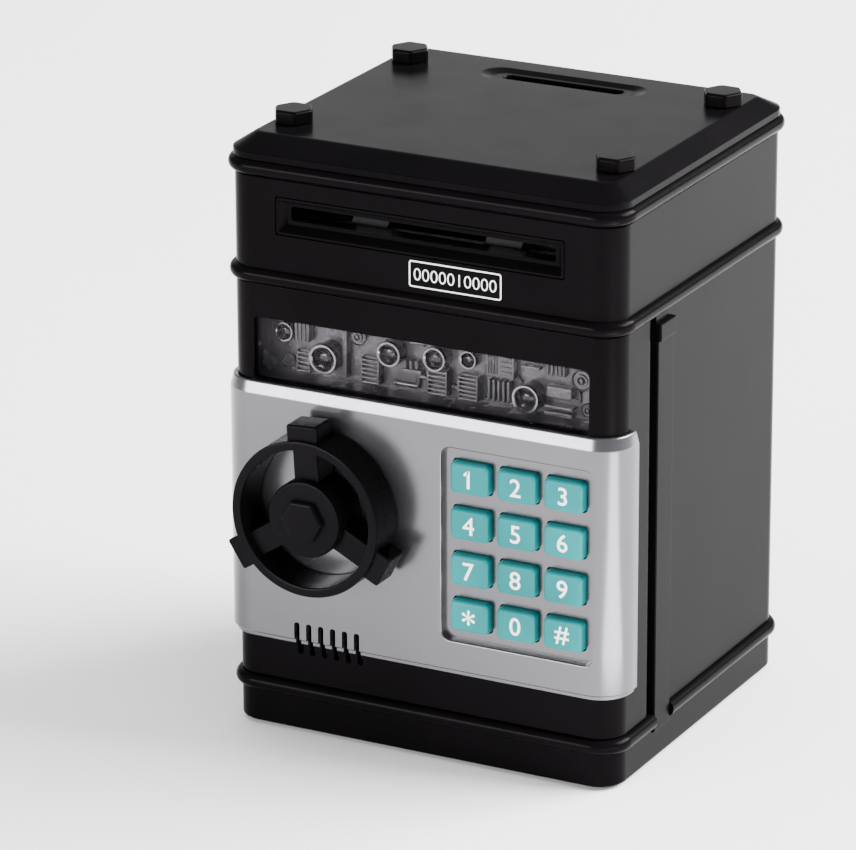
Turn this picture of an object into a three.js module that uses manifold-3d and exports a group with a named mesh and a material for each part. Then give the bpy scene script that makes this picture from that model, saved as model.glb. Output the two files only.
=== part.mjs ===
// Toy cash-machine savings bank: a moulded case with a hinged, coded front door, a bill slot with a
// motor feed, a coin slot in the lid, a vault-style door wheel that draws a bolt, and a battery bay.
// Millimetres, +Z up, front towards -Y. The origin is under the middle of the overall box.
import * as THREE from 'three';
import { mergeVertices } from 'three/addons/utils/BufferGeometryUtils.js';
import Module from 'manifold-3d';

const wasm = await Module();
wasm.setup();

// ---- driving dimensions -------------------------------------------------------------------------
const clearance = 0.3;          // between neighbouring pieces
const wall = 2.4;               // moulded wall thickness

const caseWidth = 129;
const caseDepth = 118;
const cornerRadius = 8.5;       // vertical corners of the case
const beadHeight = 4.6;
const beadProud = 2;
const footLift = 1;             // base underside above the table
const baseHeight = 14;          // table to the middle of the base bead
const doorSection = 130.3;      // base bead to middle bead
const upperSection = 33.3;      // middle bead to lid bead
const lidRise = 8.6;            // lid bead to lid top

const doorDepth = 26;
const hingeInset = 4.5;         // hinge axis in from the case's side, and radius of the door's edge
const hingePinRadius = 1.5;
const hingeBossHeight = 8;      // on the door, at each end
const boreEase = 0.1;           // extra play round a turning shaft
const pilasterWidth = 10.7;
const pilasterProud = 0.8;

const panelThickness = 2;       // silver skin over the door
const panelRise = 17;           // base bead to the skin's lower edge
const panelHeight = 80.5;
const panelBevel = 3.5;
const panelWrap = 10.6;         // how far the skin runs back along the sides

const windowWidth = 110.8;
const windowHeight = 19.3;
const windowRise = 97.8;        // base bead to the window's lower edge

const keyWidth = 12.8;
const keyHeight = 9.8;
const keyPitchX = 15.4;
const keyPitchZ = 14.5;
const keyProud = 3.2;
const keyTravel = 1.5;
const keypadInset = 31.1;       // middle key column in from the case's side
const keypadRise = 56.9;        // base bead to the middle of the keypad
const trayMarginX = 3.7;        // outer keys to the recess wall
const trayMarginZ = 3.75;
const trayDepth = 2.3;

const knobInset = 34.1;         // knob axis in from the case's side
const knobRise = 62;            // base bead to the knob axis
const knobRadius = 24.5;
const knobRim = 3;
const knobDepth = 13;
const hubRadius = 12;
const shaftRadius = 3;
const spigotRadius = 1.6;       // turned-down end of the shaft in the lock pinion
const wheelBoltRadius = 7;      // across its corners, halved
const wheelBoltStem = 2.3;
const spokeWidth = 8;
const spokeSetback = 3;         // wheel front to the spokes
const lugSetback = 1.5;         // wheel front to the lugs
const lugWidth = 10;
const lugProud = 4.4;

const rackModule = 1.25;
const pinionTeeth = 8;
const boltThickness = 4;
const boltHeight = 6;
const boltReach = 37.4;         // knob axis to the bolt's tip
const strikeReach = 8;

const billWidth = 87;           // clear width of the bill slot
const billOpening = 4.4;
const bezelWidth = 94.5;
const bezelHeight = 11.4;
const bezelRise = 19.4;         // middle bead to the middle of the bezel
const bezelDepth = 2.5;
const bezelFlange = 3;

const tyreRadius = 6;
const tyreWidth = 12;
const tyreSpacing = 44;
const pinchRadius = 4;
const pinchShaftRadius = 1.5;
const arborRadius = 1;
const feedGap = 0.3;            // roller surface to the bill's plane
const rollerSetback = 16;       // case front to the roller axes
const gearModule = 1;
const gearTeeth = 24;
const motorTeeth = 10;
const gearWidth = 4;

const coinLength = 40;
const coinWidth = 4.3;
const coinSetback = 22.5;       // case back to the coin slot
const postRadius = 6.4;         // across the hexagon's corners, halved
const postHeight = 4.3;
const postStem = 2.2;
const postInsetX = 11.5;
const postInsetY = 22;

const cellRadius = 7.2;
const cellLength = 49.5;
const cellButton = 2.6;         // radius of a cell's positive end
const cellCount = 3;
const cellPitch = 2 * (cellRadius + clearance);
const screwRadius = 1.2;        // battery cover screw
const screwHead = 3;
const screwHeadHeight = 1.2;

const ventCount = 6;
const ventPitch = 4.08;
const ventWidth = 1.3;
const ventInset = 34.1;         // middle of the vents in from the case's side
const ventRise = 17.3;          // base bead to the middle of the vents
const ventHeight = 10.7;

// ---- worked-out planes --------------------------------------------------------------------------
const right = caseWidth / 2;
const back = caseDepth / 2;
const front = -back;
const baseTop = baseHeight + beadHeight / 2;
const midBead = baseHeight + doorSection;
const lidBead = midBead + upperSection;
const lidTop = lidBead + lidRise;
const doorBottom = baseTop + clearance;
const doorTop = midBead - beadHeight / 2 - clearance;
const doorRear = front + doorDepth;
const caseFront = doorRear + clearance;
const hingeX = right - hingeInset;
const hingeY = doorRear - hingeInset;
const panelFront = front - clearance - panelThickness;
const panelBottom = baseHeight + panelRise;
const panelTop = panelBottom + panelHeight;
const frameInner = front + wall;
const keypadX = right - keypadInset;
const keypadZ = baseHeight + keypadRise;
const knobX = knobInset - right;
const knobZ = baseHeight + knobRise;
const knobBack = panelFront - 2 * clearance;
const knobFront = knobBack - knobDepth;
const boltCapProud = 2.2;
const slotZ = midBead + bezelRise + 0.5;
const floorUnder = midBead - beadHeight / 2;
const floorTop = floorUnder + wall;
const housingTop = lidBead - beadHeight / 2 - clearance;
const doorBackFront = doorRear - 2.7;
const doorBackRear = doorRear - 0.7;
const boltFront = caseFront + 3.3;
const boltRear = boltFront + boltThickness;
const pitchRadius = rackModule * pinionTeeth / 2;

// ---- solids -------------------------------------------------------------------------------------
function solidOf(geometry) {
  geometry.deleteAttribute('normal');
  geometry.deleteAttribute('uv');
  const merged = mergeVertices(geometry, 1e-5);
  return new wasm.Manifold(new wasm.Mesh({
    numProp: 3,
    vertProperties: new Float32Array(merged.attributes.position.array),
    triVerts: new Uint32Array(merged.index.array),
  }));
}

function joined(...solids) {
  return solids.reduce((sum, solid) => sum.add(solid));
}

function box(x0, x1, y0, y1, z0, z1) {
  const geometry = new THREE.BoxGeometry(x1 - x0, y1 - y0, z1 - z0);
  geometry.translate((x0 + x1) / 2, (y0 + y1) / 2, (z0 + z1) / 2);
  return solidOf(geometry);
}

// A plate is a flat shape given thickness along one axis. Its shape is drawn as seen from +Z, from
// the front (X across, Z up) or from +X (Y across, Z up).
const axisBasis = {
  z: [[1, 0, 0], [0, 1, 0], [0, 0, 1]],
  y: [[1, 0, 0], [0, 0, 1], [0, -1, 0]],
  x: [[0, 1, 0], [0, 0, 1], [1, 0, 0]],
};

function turned(geometry, axis) {
  const [a, b, c] = axisBasis[axis].map((v) => new THREE.Vector3(...v));
  return geometry.applyMatrix4(new THREE.Matrix4().makeBasis(a, b, c));
}

// An arc in the shape is cut into twice arcSteps.
function plate(shape, axis, from, to, arcSteps = 2) {
  const geometry = new THREE.ExtrudeGeometry(shape, {
    depth: to - from,
    bevelEnabled: false,
    curveSegments: arcSteps,
  });
  geometry.translate(0, 0, axis === 'y' ? -to : from);
  return solidOf(turned(geometry, axis));
}

function rod(axis, radius, from, to, u, v, sides = 20) {
  const shape = new THREE.Shape();
  shape.absarc(u, v, radius, 0, 2 * Math.PI, false);
  return plate(shape, axis, from, to, sides / 2);
}

function roundedRect(halfU, halfV, radius, u = 0, v = 0) {
  const shape = new THREE.Shape();
  const corners = [[1, 1, 0], [-1, 1, 1], [-1, -1, 2], [1, -1, 3]];
  for (const [su, sv, quarter] of corners) {
    const start = quarter * Math.PI / 2;
    const cu = u + su * (halfU - radius);
    const cv = v + sv * (halfV - radius);
    shape.absarc(cu, cv, radius, start, start + Math.PI / 2, false);
  }
  shape.closePath();
  return shape;
}

// A loft joins rounded rectangles [halfU, halfV, radius, height] stacked along an axis.
function loft(axis, rings, u = 0, v = 0, cornerSteps = 4) {
  const count = 4 * (cornerSteps + 1);
  const positions = [];
  const index = [];
  for (const [halfU, halfV, radius, height] of rings) {
    for (let i = 0; i < count; i += 1) {
      const quarter = Math.floor(i / (cornerSteps + 1));
      const angle = (quarter + (i % (cornerSteps + 1)) / cornerSteps) * Math.PI / 2;
      const su = quarter === 0 || quarter === 3 ? 1 : -1;
      const sv = quarter < 2 ? 1 : -1;
      positions.push(
        u + su * (halfU - radius) + radius * Math.cos(angle),
        v + sv * (halfV - radius) + radius * Math.sin(angle),
        axis === 'y' ? -height : height,
      );
    }
  }
  for (let ring = 0; ring + 1 < rings.length; ring += 1) {
    for (let i = 0; i < count; i += 1) {
      const a = ring * count + i;
      const b = ring * count + (i + 1) % count;
      index.push(a, b, b + count, a, b + count, a + count);
    }
  }
  const last = (rings.length - 1) * count;
  for (let i = 1; i + 1 < count; i += 1) {
    index.push(0, i + 1, i, last, last + i, last + i + 1);
  }
  const geometry = new THREE.BufferGeometry();
  geometry.setAttribute('position', new THREE.Float32BufferAttribute(positions, 3));
  geometry.setIndex(index);
  return solidOf(turned(geometry, axis));
}

// Case outline rings, grown or shrunk by an offset from the case's plan.
function caseRing(offset, z) {
  return [right + offset, back + offset, Math.max(cornerRadius + offset, 1), z];
}

function beadRings(z) {
  const half = beadHeight / 2;
  return [-1, -0.7, 0, 0.7, 1].map((t) => (
    caseRing(beadProud * Math.sqrt(1 - t * t), z + t * half)
  ));
}

function inside(z0, z1) {
  return loft('z', [caseRing(-wall, z0), caseRing(-wall, z1)]);
}

function gearShape(module, teeth, tilt, u, v, thinning = 0.3) {
  const pressure = THREE.MathUtils.degToRad(20);
  const pitch = module * teeth / 2;
  const base = pitch * Math.cos(pressure);
  const root = pitch - 1.25 * module;
  const tip = pitch + module;
  const involute = (angle) => Math.tan(angle) - angle;
  const halfTooth = Math.PI / (2 * teeth) - thinning / (2 * pitch) + involute(pressure);
  const flank = [0, 0.5, 1].map((t) => {
    const radius = THREE.MathUtils.lerp(Math.max(base, root), tip, t);
    return [radius, halfTooth - involute(Math.acos(Math.min(base / radius, 1)))];
  });
  const profile = [
    [root, -flank[0][1] * 1.05],
    ...flank.map(([radius, angle]) => [radius, -angle]),
    ...flank.map(([radius, angle]) => [radius, angle]).reverse(),
    [root, flank[0][1] * 1.05],
  ];
  const points = [];
  for (let tooth = 0; tooth < teeth; tooth += 1) {
    const middle = tilt + tooth * 2 * Math.PI / teeth;
    for (const [radius, angle] of profile) {
      const at = middle + angle;
      points.push(new THREE.Vector2(u + radius * Math.cos(at), v + radius * Math.sin(at)));
    }
  }
  return new THREE.Shape(points);
}

// ---- finishes and the scene ---------------------------------------------------------------------
const finishes = {
  black: [0x141416, 0.32, 0],
  dark: [0x202024, 0.5, 0],
  silver: [0xa9a7ab, 0.35, 0.6],
  teal: [0x4fb0ae, 0.45, 0],
  clear: [0x9a98a0, 0.08, 0],
  relief: [0x8d8891, 0.35, 0.7],
  steel: [0xb8bcc0, 0.3, 1],
  brass: [0xb99a55, 0.35, 1],
  rubber: [0x26262a, 0.85, 0],
  gearWhite: [0xe6e4dc, 0.5, 0],
  board: [0x1e5a3a, 0.6, 0],
  cell: [0x8a8f96, 0.4, 0.3],
};

const bank = new THREE.Group();
const overallBack = back + beadProud;
const overallFront = knobFront - boltCapProud;
bank.position.y = -(overallBack + overallFront) / 2;

function add(name, finish, solid) {
  const { vertProperties, triVerts } = solid.getMesh();
  const geometry = new THREE.BufferGeometry();
  geometry.setAttribute('position', new THREE.BufferAttribute(vertProperties, 3));
  geometry.setIndex(new THREE.BufferAttribute(triVerts, 1));
  const [color, roughness, metalness] = finishes[finish];
  const mesh = new THREE.Mesh(geometry, new THREE.MeshStandardMaterial({ color, roughness, metalness }));
  mesh.name = name;
  bank.add(mesh);
}

// ---- base, battery bay and feet -----------------------------------------------------------------
const bayHalfY = cellCount * cellPitch / 2 + 1;
const bayLeft = -cellLength / 2 - 2.5;
const bayRight = cellLength / 2 + 2.5;
const screwX = bayRight + 4;
const bayFloor = footLift + wall;
const bayRoof = bayFloor + 2 * cellRadius + 2 * clearance;
const cellZ = bayFloor + clearance + cellRadius;
const coverHalfY = bayHalfY - clearance;
const coverRight = screwX + 3.5;
const footRadius = 6;
const footSeat = 0.9;

function makeBase() {
  const shell = loft('z', [caseRing(-1, footLift), caseRing(0, footLift + 1), ...beadRings(baseHeight)]);
  const hollow = inside(bayFloor, baseTop + 1);
  const bayBox = box(
    bayLeft - wall, coverRight + wall, -bayHalfY - wall, bayHalfY + wall, footLift, bayRoof + wall,
  );
  const bay = box(bayLeft, bayRight, -bayHalfY, bayHalfY, footLift - 1, bayRoof);
  const coverSeat = box(
    bayRight - 1, coverRight + clearance, -bayHalfY, bayHalfY, footLift - 1, bayFloor + clearance,
  );
  const screwBore = rod('z', screwRadius, footLift, bayFloor + 9, screwX, 0, 12);
  const hingeBore = rod('z', hingePinRadius + clearance, footLift + wall + 2, baseTop + 1, hingeX, hingeY, 12);
  const hingeBoss = rod('z', hingePinRadius + wall, footLift + 1, baseTop, hingeX, hingeY, 12);
  const pilasterNotch = box(
    right - clearance, right + 2 * beadProud,
    caseFront - clearance, caseFront + pilasterWidth + clearance, baseHeight - 4, baseTop + 1,
  );
  let tray = shell.subtract(hollow).add(bayBox).subtract(bay).subtract(coverSeat);
  tray = tray.add(hingeBoss).subtract(screwBore).subtract(hingeBore).subtract(pilasterNotch);
  for (const [x, y] of footPlaces()) {
    tray = tray.subtract(rod('z', footRadius + clearance, footLift - 1, footLift + footSeat, x, y));
  }
  add('base_tray', 'black', tray);
  footPlaces().forEach(([x, y], i) => {
    add(`foot_pad_${i + 1}`, 'rubber', rod('z', footRadius, 0, footLift + footSeat - clearance, x, y));
  });
}

function footPlaces() {
  const x = right - 15;
  const y = back - 15;
  return [[-x, -y], [x, -y], [x, y], [-x, y]];
}

function makeBatteries() {
  const cover = box(
    bayLeft + clearance, coverRight, -coverHalfY, coverHalfY, footLift, bayFloor,
  );
  const headSeat = rod('z', screwHead + clearance, footLift - 1, footLift + screwHeadHeight, screwX, 0);
  const bore = rod('z', screwRadius + clearance, footLift - 1, bayFloor + 1, screwX, 0, 12);
  add('battery_cover', 'black', cover.subtract(headSeat).subtract(bore));
  const head = rod('z', screwHead, footLift, footLift + screwHeadHeight - clearance, screwX, 0);
  const shank = rod('z', screwRadius - clearance, footLift + 0.5, bayFloor + 8, screwX, 0, 12);
  const cross = joined(
    box(screwX - 2, screwX + 2, -0.4, 0.4, footLift - 1, footLift + 0.4),
    box(screwX - 0.4, screwX + 0.4, -2, 2, footLift - 1, footLift + 0.4),
  );
  add('battery_cover_screw', 'steel', head.add(shank).subtract(cross));
  for (let i = 0; i < cellCount; i += 1) {
    const y = (i - (cellCount - 1) / 2) * cellPitch;
    const direction = i % 2 === 0 ? 1 : -1;
    const can = rod('x', cellRadius, -cellLength / 2, cellLength / 2 - 1, y, cellZ);
    const button = rod('x', cellButton, cellLength / 2 - 2, cellLength / 2, y, cellZ, 12);
    const cell = can.add(button);
    add(`battery_${i + 1}`, 'cell', direction > 0 ? cell : cell.rotate([0, 0, 180]).translate([0, 2 * y, 0]));
  }
  for (const [name, side] of [['left', -1], ['right', 1]]) {
    const outer = side * (cellLength / 2 + 2.5 - clearance);
    const inner = side * (cellLength / 2 + 1.5);
    const strip = box(
      Math.min(outer, inner), Math.max(outer, inner),
      -bayHalfY + 1, bayHalfY - 1, bayFloor + 2, bayRoof - 1,
    );
    add(`battery_contact_${name}`, 'steel', strip);
  }
}

// ---- case behind the door -----------------------------------------------------------------------
const cashFloorTop = bayRoof + wall + clearance + wall;

function makeRearCase() {
  const shell = loft('z', [caseRing(0, doorBottom), caseRing(0, doorTop)]);
  const doorway = box(-right - 1, right + 1, front - 1, caseFront, 0, lidTop);
  const pilaster = box(
    right - 0.5, right + pilasterProud, caseFront, caseFront + pilasterWidth, baseHeight - 3.7, doorTop - 7.5,
  );
  const pilasterBack = box(
    right - wall, right, caseFront - 1, caseFront + pilasterWidth + 1, 0, doorBottom,
  );
  const hingeCap = box(
    right - 0.5, right + 2 * pilasterProud, caseFront, caseFront + pilasterWidth, doorTop - 8, doorTop - 2.5,
  );
  const strike = box(
    wall / 2 - right, wall + strikeReach - right, caseFront, caseFront + 2.7, knobZ + 3, knobZ + 16,
  );
  const ledge = [-1, 1].map((side) => box(
    side > 0 ? right - wall - 3 : -right + wall / 2, side > 0 ? right - wall / 2 : -right + wall + 3,
    caseFront + 6, back - wall - 6, cashFloorTop - wall - clearance - 2, cashFloorTop - wall - clearance,
  ));
  const walls = shell.subtract(inside(0, lidTop)).subtract(doorway);
  const fitted = joined(walls, pilaster, hingeCap, strike, ...ledge).subtract(pilasterBack);
  add('rear_case', 'black', fitted);
  const floorGap = wall + clearance;
  const floor = loft('z', [
    caseRing(-floorGap, cashFloorTop - wall), caseRing(-floorGap, cashFloorTop),
  ]).subtract(box(-right, right, front - 1, caseFront + 3.5, 0, lidTop));
  add('cash_floor', 'dark', floor);
}

// ---- upper housing, lid and posts ---------------------------------------------------------------
function makeUpperHousing() {
  const shell = loft('z', [...beadRings(midBead), caseRing(0, housingTop)]);
  const room = inside(floorTop, lidTop);
  const drop = plate(roundedRect(right - 18, back / 2 + 4, 4, 0, 14), 'z', 0, lidTop);
  const bezelHole = plate(
    roundedRect(bezelWidth / 2 + clearance, bezelHeight / 2 + clearance, 0.8, 0, midBead + bezelRise),
    'y', front - beadProud - 1, frameInner + 1,
  );
  const hingeBore = rod('z', hingePinRadius + clearance, floorUnder - 1, floorTop + 2, hingeX, hingeY, 12);
  const hingeBoss = rod('z', hingePinRadius + wall, floorTop - 1, floorTop + 4, hingeX, hingeY, 12);
  const housing = shell.subtract(room).subtract(drop).subtract(bezelHole).add(hingeBoss);
  add('upper_housing', 'black', housing.subtract(hingeBore));
}

function makeBezel() {
  const z = midBead + bezelRise;
  const halfW = bezelWidth / 2;
  const halfH = bezelHeight / 2;
  const body = plate(roundedRect(halfW, halfH, 0.8, 0, z), 'y', front, frameInner + 1);
  const flange = plate(
    roundedRect(halfW + bezelFlange, halfH + 2, 2, 0, z), 'y', frameInner + clearance, frameInner + 2,
  );
  const throat = plate(
    roundedRect(billWidth / 2 + 2, billOpening / 2 + 1.6, 1, 0, slotZ), 'y', frameInner + 1, front + 8,
  );
  const recess = loft('y', [
    [halfW - 0.9, halfH - 0.9, 0.6, front - 1],
    [halfW - 0.9, halfH - 0.9, 0.6, front],
    [halfW - 2.6, halfH - 2.4, 0.6, front + bezelDepth],
  ].reverse(), 0, z);
  const slot = plate(roundedRect(billWidth / 2, billOpening / 2, 0.8, 0, slotZ), 'y', front - 1, front + 9);
  add('bill_slot_bezel', 'black', joined(body, flange, throat).subtract(recess).subtract(slot));
}

const lidStep = 4.6;            // lid bead middle to the foot of the chamfer
const chamferX = 5.5;
const chamferY = 8;

function postPlaces() {
  const x = right - postInsetX;
  const y = back - postInsetY;
  return [[-x, -y], [x, -y], [x, y], [-x, y]];
}

function makeLid() {
  const chamferFoot = lidBead + lidStep;
  const top = [right - chamferX, back - chamferY, cornerRadius - 2, lidTop];
  const shell = loft('z', [
    ...beadRings(lidBead), caseRing(0.5, lidBead + beadHeight / 2), caseRing(0.5, chamferFoot), top,
  ]);
  const hollow = loft('z', [
    caseRing(-wall, housingTop), caseRing(-wall, chamferFoot - 0.8),
    [right - chamferX - wall, back - chamferY - wall, cornerRadius - 3, lidTop - wall],
  ]);
  const dish = loft('z', [
    [coinLength / 2 + 3, coinWidth / 2 + 1.4, coinWidth / 2, lidTop - 0.9],
    [coinLength / 2 + 7.5, coinWidth / 2 + 3.9, coinWidth, lidTop],
    [coinLength / 2 + 7.5, coinWidth / 2 + 3.9, coinWidth, lidTop + 1],
  ], 0, back - coinSetback);
  const slot = plate(
    roundedRect(coinLength / 2, coinWidth / 2, coinWidth / 2 - 0.01, 0, back - coinSetback),
    'z', housingTop, lidTop + 1,
  );
  let lid = shell.subtract(hollow).subtract(dish).subtract(slot);
  for (const [x, y] of postPlaces()) {
    lid = lid.subtract(rod('z', postStem + clearance, housingTop, lidTop + 1, x, y, 14));
  }
  add('lid', 'black', lid);
  postPlaces().forEach(([x, y], i) => {
    const seat = lidTop + clearance;
    const head = lidTop + postHeight;
    const profile = [
      [0, seat - wall], [postStem, seat - wall], [postStem, seat], [postRadius, seat],
      [postRadius, head - 0.8], [postRadius - 0.9, head], [0, head],
    ].map(([r, z]) => new THREE.Vector2(r, z));
    const post = new THREE.LatheGeometry(profile, 6, Math.PI / 6);
    post.rotateX(Math.PI / 2);
    post.translate(x, y, 0);
    add(`lid_post_${i + 1}`, 'black', solidOf(post));
  });
}

// ---- bill feed ----------------------------------------------------------------------------------
const rollerY = front + rollerSetback;
const driveZ = slotZ - feedGap - tyreRadius;
const pinchZ = slotZ + feedGap + pinchRadius;
const rollerShaftRadius = 2;
const cheekInner = bezelWidth / 2 + 0.6;
const cheekThickness = 2;
const gearLeft = cheekInner + cheekThickness + 1;
const motorY = rollerY + gearModule * (gearTeeth + motorTeeth) / 2;
const motorRadius = 9;

function makeFeed() {
  const cheekOuter = cheekInner + cheekThickness;
  const cheekRear = motorY + motorRadius + 3;
  const cheekFront = rollerY - 5.5;
  const under = floorTop + clearance;
  const outline = roundedRect(
    (cheekRear - cheekFront) / 2, (pinchZ + 3.5 - under) / 2, 2,
    (cheekRear + cheekFront) / 2, (pinchZ + 3.5 + under) / 2,
  );
  const cheeks = joined(
    plate(outline, 'x', cheekInner, cheekOuter), plate(outline, 'x', -cheekOuter, -cheekInner),
  );
  const tie = box(-cheekOuter, cheekOuter, cheekFront + 2, cheekFront + 4, under, under + 4);
  const shelf = box(-cheekOuter, cheekOuter, cheekRear - 6, cheekRear - 2, under, under + 2);
  const frame = joined(cheeks, tie, shelf)
    .subtract(rod('x', rollerShaftRadius + clearance, -right, right, rollerY, driveZ))
    .subtract(rod('x', pinchShaftRadius + clearance, -right, right, rollerY, pinchZ, 16))
    .subtract(rod('x', 2.5, cheekInner - 1, right, motorY, driveZ, 16));
  add('feed_frame', 'dark', frame);

  const shaftEnd = gearLeft + gearWidth + 1.5;
  add('drive_roller_shaft', 'steel', rod('x', rollerShaftRadius, -cheekOuter - 2, shaftEnd, rollerY, driveZ));
  for (const [name, side] of [['left', -1], ['right', 1]]) {
    const x = side * tyreSpacing / 2;
    const tyre = rod('x', tyreRadius, x - tyreWidth / 2, x + tyreWidth / 2, rollerY, driveZ, 20);
    const bore = rod('x', rollerShaftRadius + clearance, -right, right, rollerY, driveZ);
    add(`drive_tyre_${name}`, 'rubber', tyre.subtract(bore));
  }
  const pinch = rod('x', pinchShaftRadius, -cheekOuter - 0.6, cheekOuter + 0.6, rollerY, pinchZ, 12);
  const wheels = [-1, 1].map((side) => rod(
    'x', pinchRadius, side * tyreSpacing / 2 - tyreWidth / 2, side * tyreSpacing / 2 + tyreWidth / 2,
    rollerY, pinchZ,
  ));
  add('pinch_roller', 'gearWhite', joined(pinch, ...wheels));

  const drive = plate(
    gearShape(gearModule, gearTeeth, 0, rollerY, driveZ), 'x', gearLeft, gearLeft + gearWidth,
  );
  const driveBore = rod('x', rollerShaftRadius + clearance, -right, right, rollerY, driveZ);
  add('drive_gear', 'gearWhite', drive.subtract(driveBore));
  const halfPitch = Math.PI / motorTeeth;
  const pinion = plate(
    gearShape(gearModule, motorTeeth, halfPitch, motorY, driveZ), 'x', gearLeft, gearLeft + gearWidth,
  );
  const arbor = rod('x', arborRadius, cheekInner - 3, gearLeft + gearWidth + 1, motorY, driveZ, 12);
  add('motor_pinion', 'brass', pinion.add(arbor));
  const can = rod('x', motorRadius, cheekInner - clearance - 25, cheekInner - clearance, motorY, driveZ);
  const mouth = rod('x', arborRadius + clearance, cheekInner - 4, cheekInner, motorY, driveZ, 12);
  add('feed_motor', 'steel', can.subtract(mouth));
}

function makeMainBoard() {
  const x = -right + wall + clearance;
  const low = floorTop + clearance;
  const board = box(x, x + 1.6, -6, back - 18, low, housingTop - 4);
  const parts = [[0, 14, 8, 18, 4], [18, 28, 6, 16, 3], [32, 38, 10, 14, 5]].map(([y0, y1, z0, z1, tall]) => (
    box(x + 1, x + 1.6 + tall, y0, y1, low + z0, low + z1)
  ));
  add('main_board', 'board', joined(board, ...parts));
}

// ---- door ---------------------------------------------------------------------------------------
const trayHalfX = keyPitchX + keyWidth / 2 + trayMarginX - 0.5;
const trayHalfZ = 1.5 * keyPitchZ + keyHeight / 2 + trayMarginZ;
const trayWall = 1.5;
const trayFloor = panelFront + trayDepth;
const trayBack = trayFloor + panelThickness;
const windowZ = baseHeight + windowRise + windowHeight / 2;
const ventX = ventInset - right;
const ventZ = baseHeight + ventRise;

// The door's plan: round front corners, and a rear right edge that turns about the hinge.
function doorShape() {
  const shape = new THREE.Shape();
  const cornerX = right - cornerRadius;
  const cornerY = front + cornerRadius;
  shape.absarc(-cornerX, cornerY, cornerRadius, Math.PI, 1.5 * Math.PI, false);
  shape.absarc(cornerX, cornerY, cornerRadius, 1.5 * Math.PI, 2 * Math.PI, false);
  shape.absarc(hingeX, hingeY, hingeInset, 0, Math.PI / 2, false);
  shape.lineTo(-right, doorRear);
  shape.closePath();
  return shape;
}

function vents(from, to) {
  return Array.from({ length: ventCount }, (_, i) => plate(
    roundedRect(ventWidth / 2, ventHeight / 2, 0.6, ventX + (i - (ventCount - 1) / 2) * ventPitch, ventZ),
    'y', from, to, 1,
  )).reduce((sum, slot) => sum.add(slot));
}

function makeDoorFrame() {
  const shell = plate(doorShape(), 'z', doorBottom, doorTop, 3);
  const hollowPlan = roundedRect(right - wall, (doorDepth + 20) / 2, 5, 0, frameInner + (doorDepth + 20) / 2);
  const hollow = plate(hollowPlan, 'z', doorBottom + wall, doorTop - wall, 3);
  const window = plate(
    roundedRect(windowWidth / 2, windowHeight / 2, 1.5, 0, windowZ), 'y', front - 1, frameInner + 1,
  );
  const trayHole = plate(
    roundedRect(trayHalfX + trayWall + clearance, trayHalfZ + trayWall + clearance, 3, keypadX, keypadZ),
    'y', front - 1, trayBack + 3 * clearance,
  );
  const shaftHole = rod('y', shaftRadius + clearance + boreEase, front - 1, frameInner + 5, knobX, knobZ);
  const shaftBoss = rod('y', shaftRadius + wall, frameInner - 1, frameInner + 4, knobX, knobZ);
  const bosses = [0, 1].map((i) => rod(
    'z', hingePinRadius + wall + clearance, i === 0 ? doorBottom : doorTop - hingeBossHeight,
    i === 0 ? doorBottom + hingeBossHeight : doorTop, hingeX, hingeY, 12,
  ));
  const posts = [-1, 1].flatMap((sx) => [-1, 1].map((sz) => rod(
    'y', 2.2, frameInner - 1, boardFront - clearance,
    keypadX + sx * (trayHalfX - 2.5) - 0.8, keypadZ + sz * (trayHalfZ + trayWall + 4), 8,
  )));
  const speakerRing = rod('y', speakerRadius + 2, frameInner - 1, frameInner + 2, ventX, speakerZ, 20)
    .subtract(rod('y', speakerRadius + clearance, frameInner - 2, frameInner + 3, ventX, speakerZ, 20));
  const pins = [0, 1].map((i) => rod(
    'z', hingePinRadius + clearance + boreEase / 2, i === 0 ? doorBottom - 1 : doorTop - hingeBossHeight - 1,
    i === 0 ? doorBottom + hingeBossHeight + 1 : doorTop + 1, hingeX, hingeY, 12,
  ));
  let frame = shell.subtract(hollow);
  frame = joined(frame, ...bosses, shaftBoss, speakerRing, ...posts);
  frame = frame.subtract(window).subtract(trayHole).subtract(shaftHole);
  frame = frame.subtract(vents(front - 1, frameInner + 0.5));
  for (const pin of pins) frame = frame.subtract(pin);
  add('door_frame', 'black', frame);
}

function makeDoorPanel() {
  const low = clearance + panelThickness / 2;
  const full = clearance + panelThickness;
  const skin = loft('z', [
    caseRing(low, panelBottom - 1.4), caseRing(low, panelBottom), caseRing(full, panelBottom + 0.3),
    caseRing(full, panelTop - panelBevel), caseRing(low, panelTop),
  ]).subtract(loft('z', [caseRing(clearance, 0), caseRing(clearance, lidTop)]))
    .subtract(box(-2 * right, 2 * right, front + panelWrap, 2 * back, 0, lidTop));
  const tray = plate(
    roundedRect(trayHalfX + trayWall, trayHalfZ + trayWall, 3, keypadX, keypadZ), 'y', panelFront + 1, trayBack,
  );
  const recess = plate(
    roundedRect(trayHalfX, trayHalfZ, 3, keypadX, keypadZ), 'y', panelFront - 1, trayFloor,
  );
  let panel = skin.add(tray).subtract(recess).subtract(vents(panelFront - 1, front));
  panel = panel.subtract(rod('y', shaftRadius + clearance + boreEase, panelFront - 1, front + 1, knobX, knobZ));
  for (const { x, z } of keyPlaces()) {
    panel = panel.subtract(plate(
      roundedRect(keyWidth / 2 + clearance, keyHeight / 2 + clearance, 1.4, x, z),
      'y', trayFloor - 1, trayBack + 1, 1,
    ));
  }
  add('door_panel', 'silver', panel);
}

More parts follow.
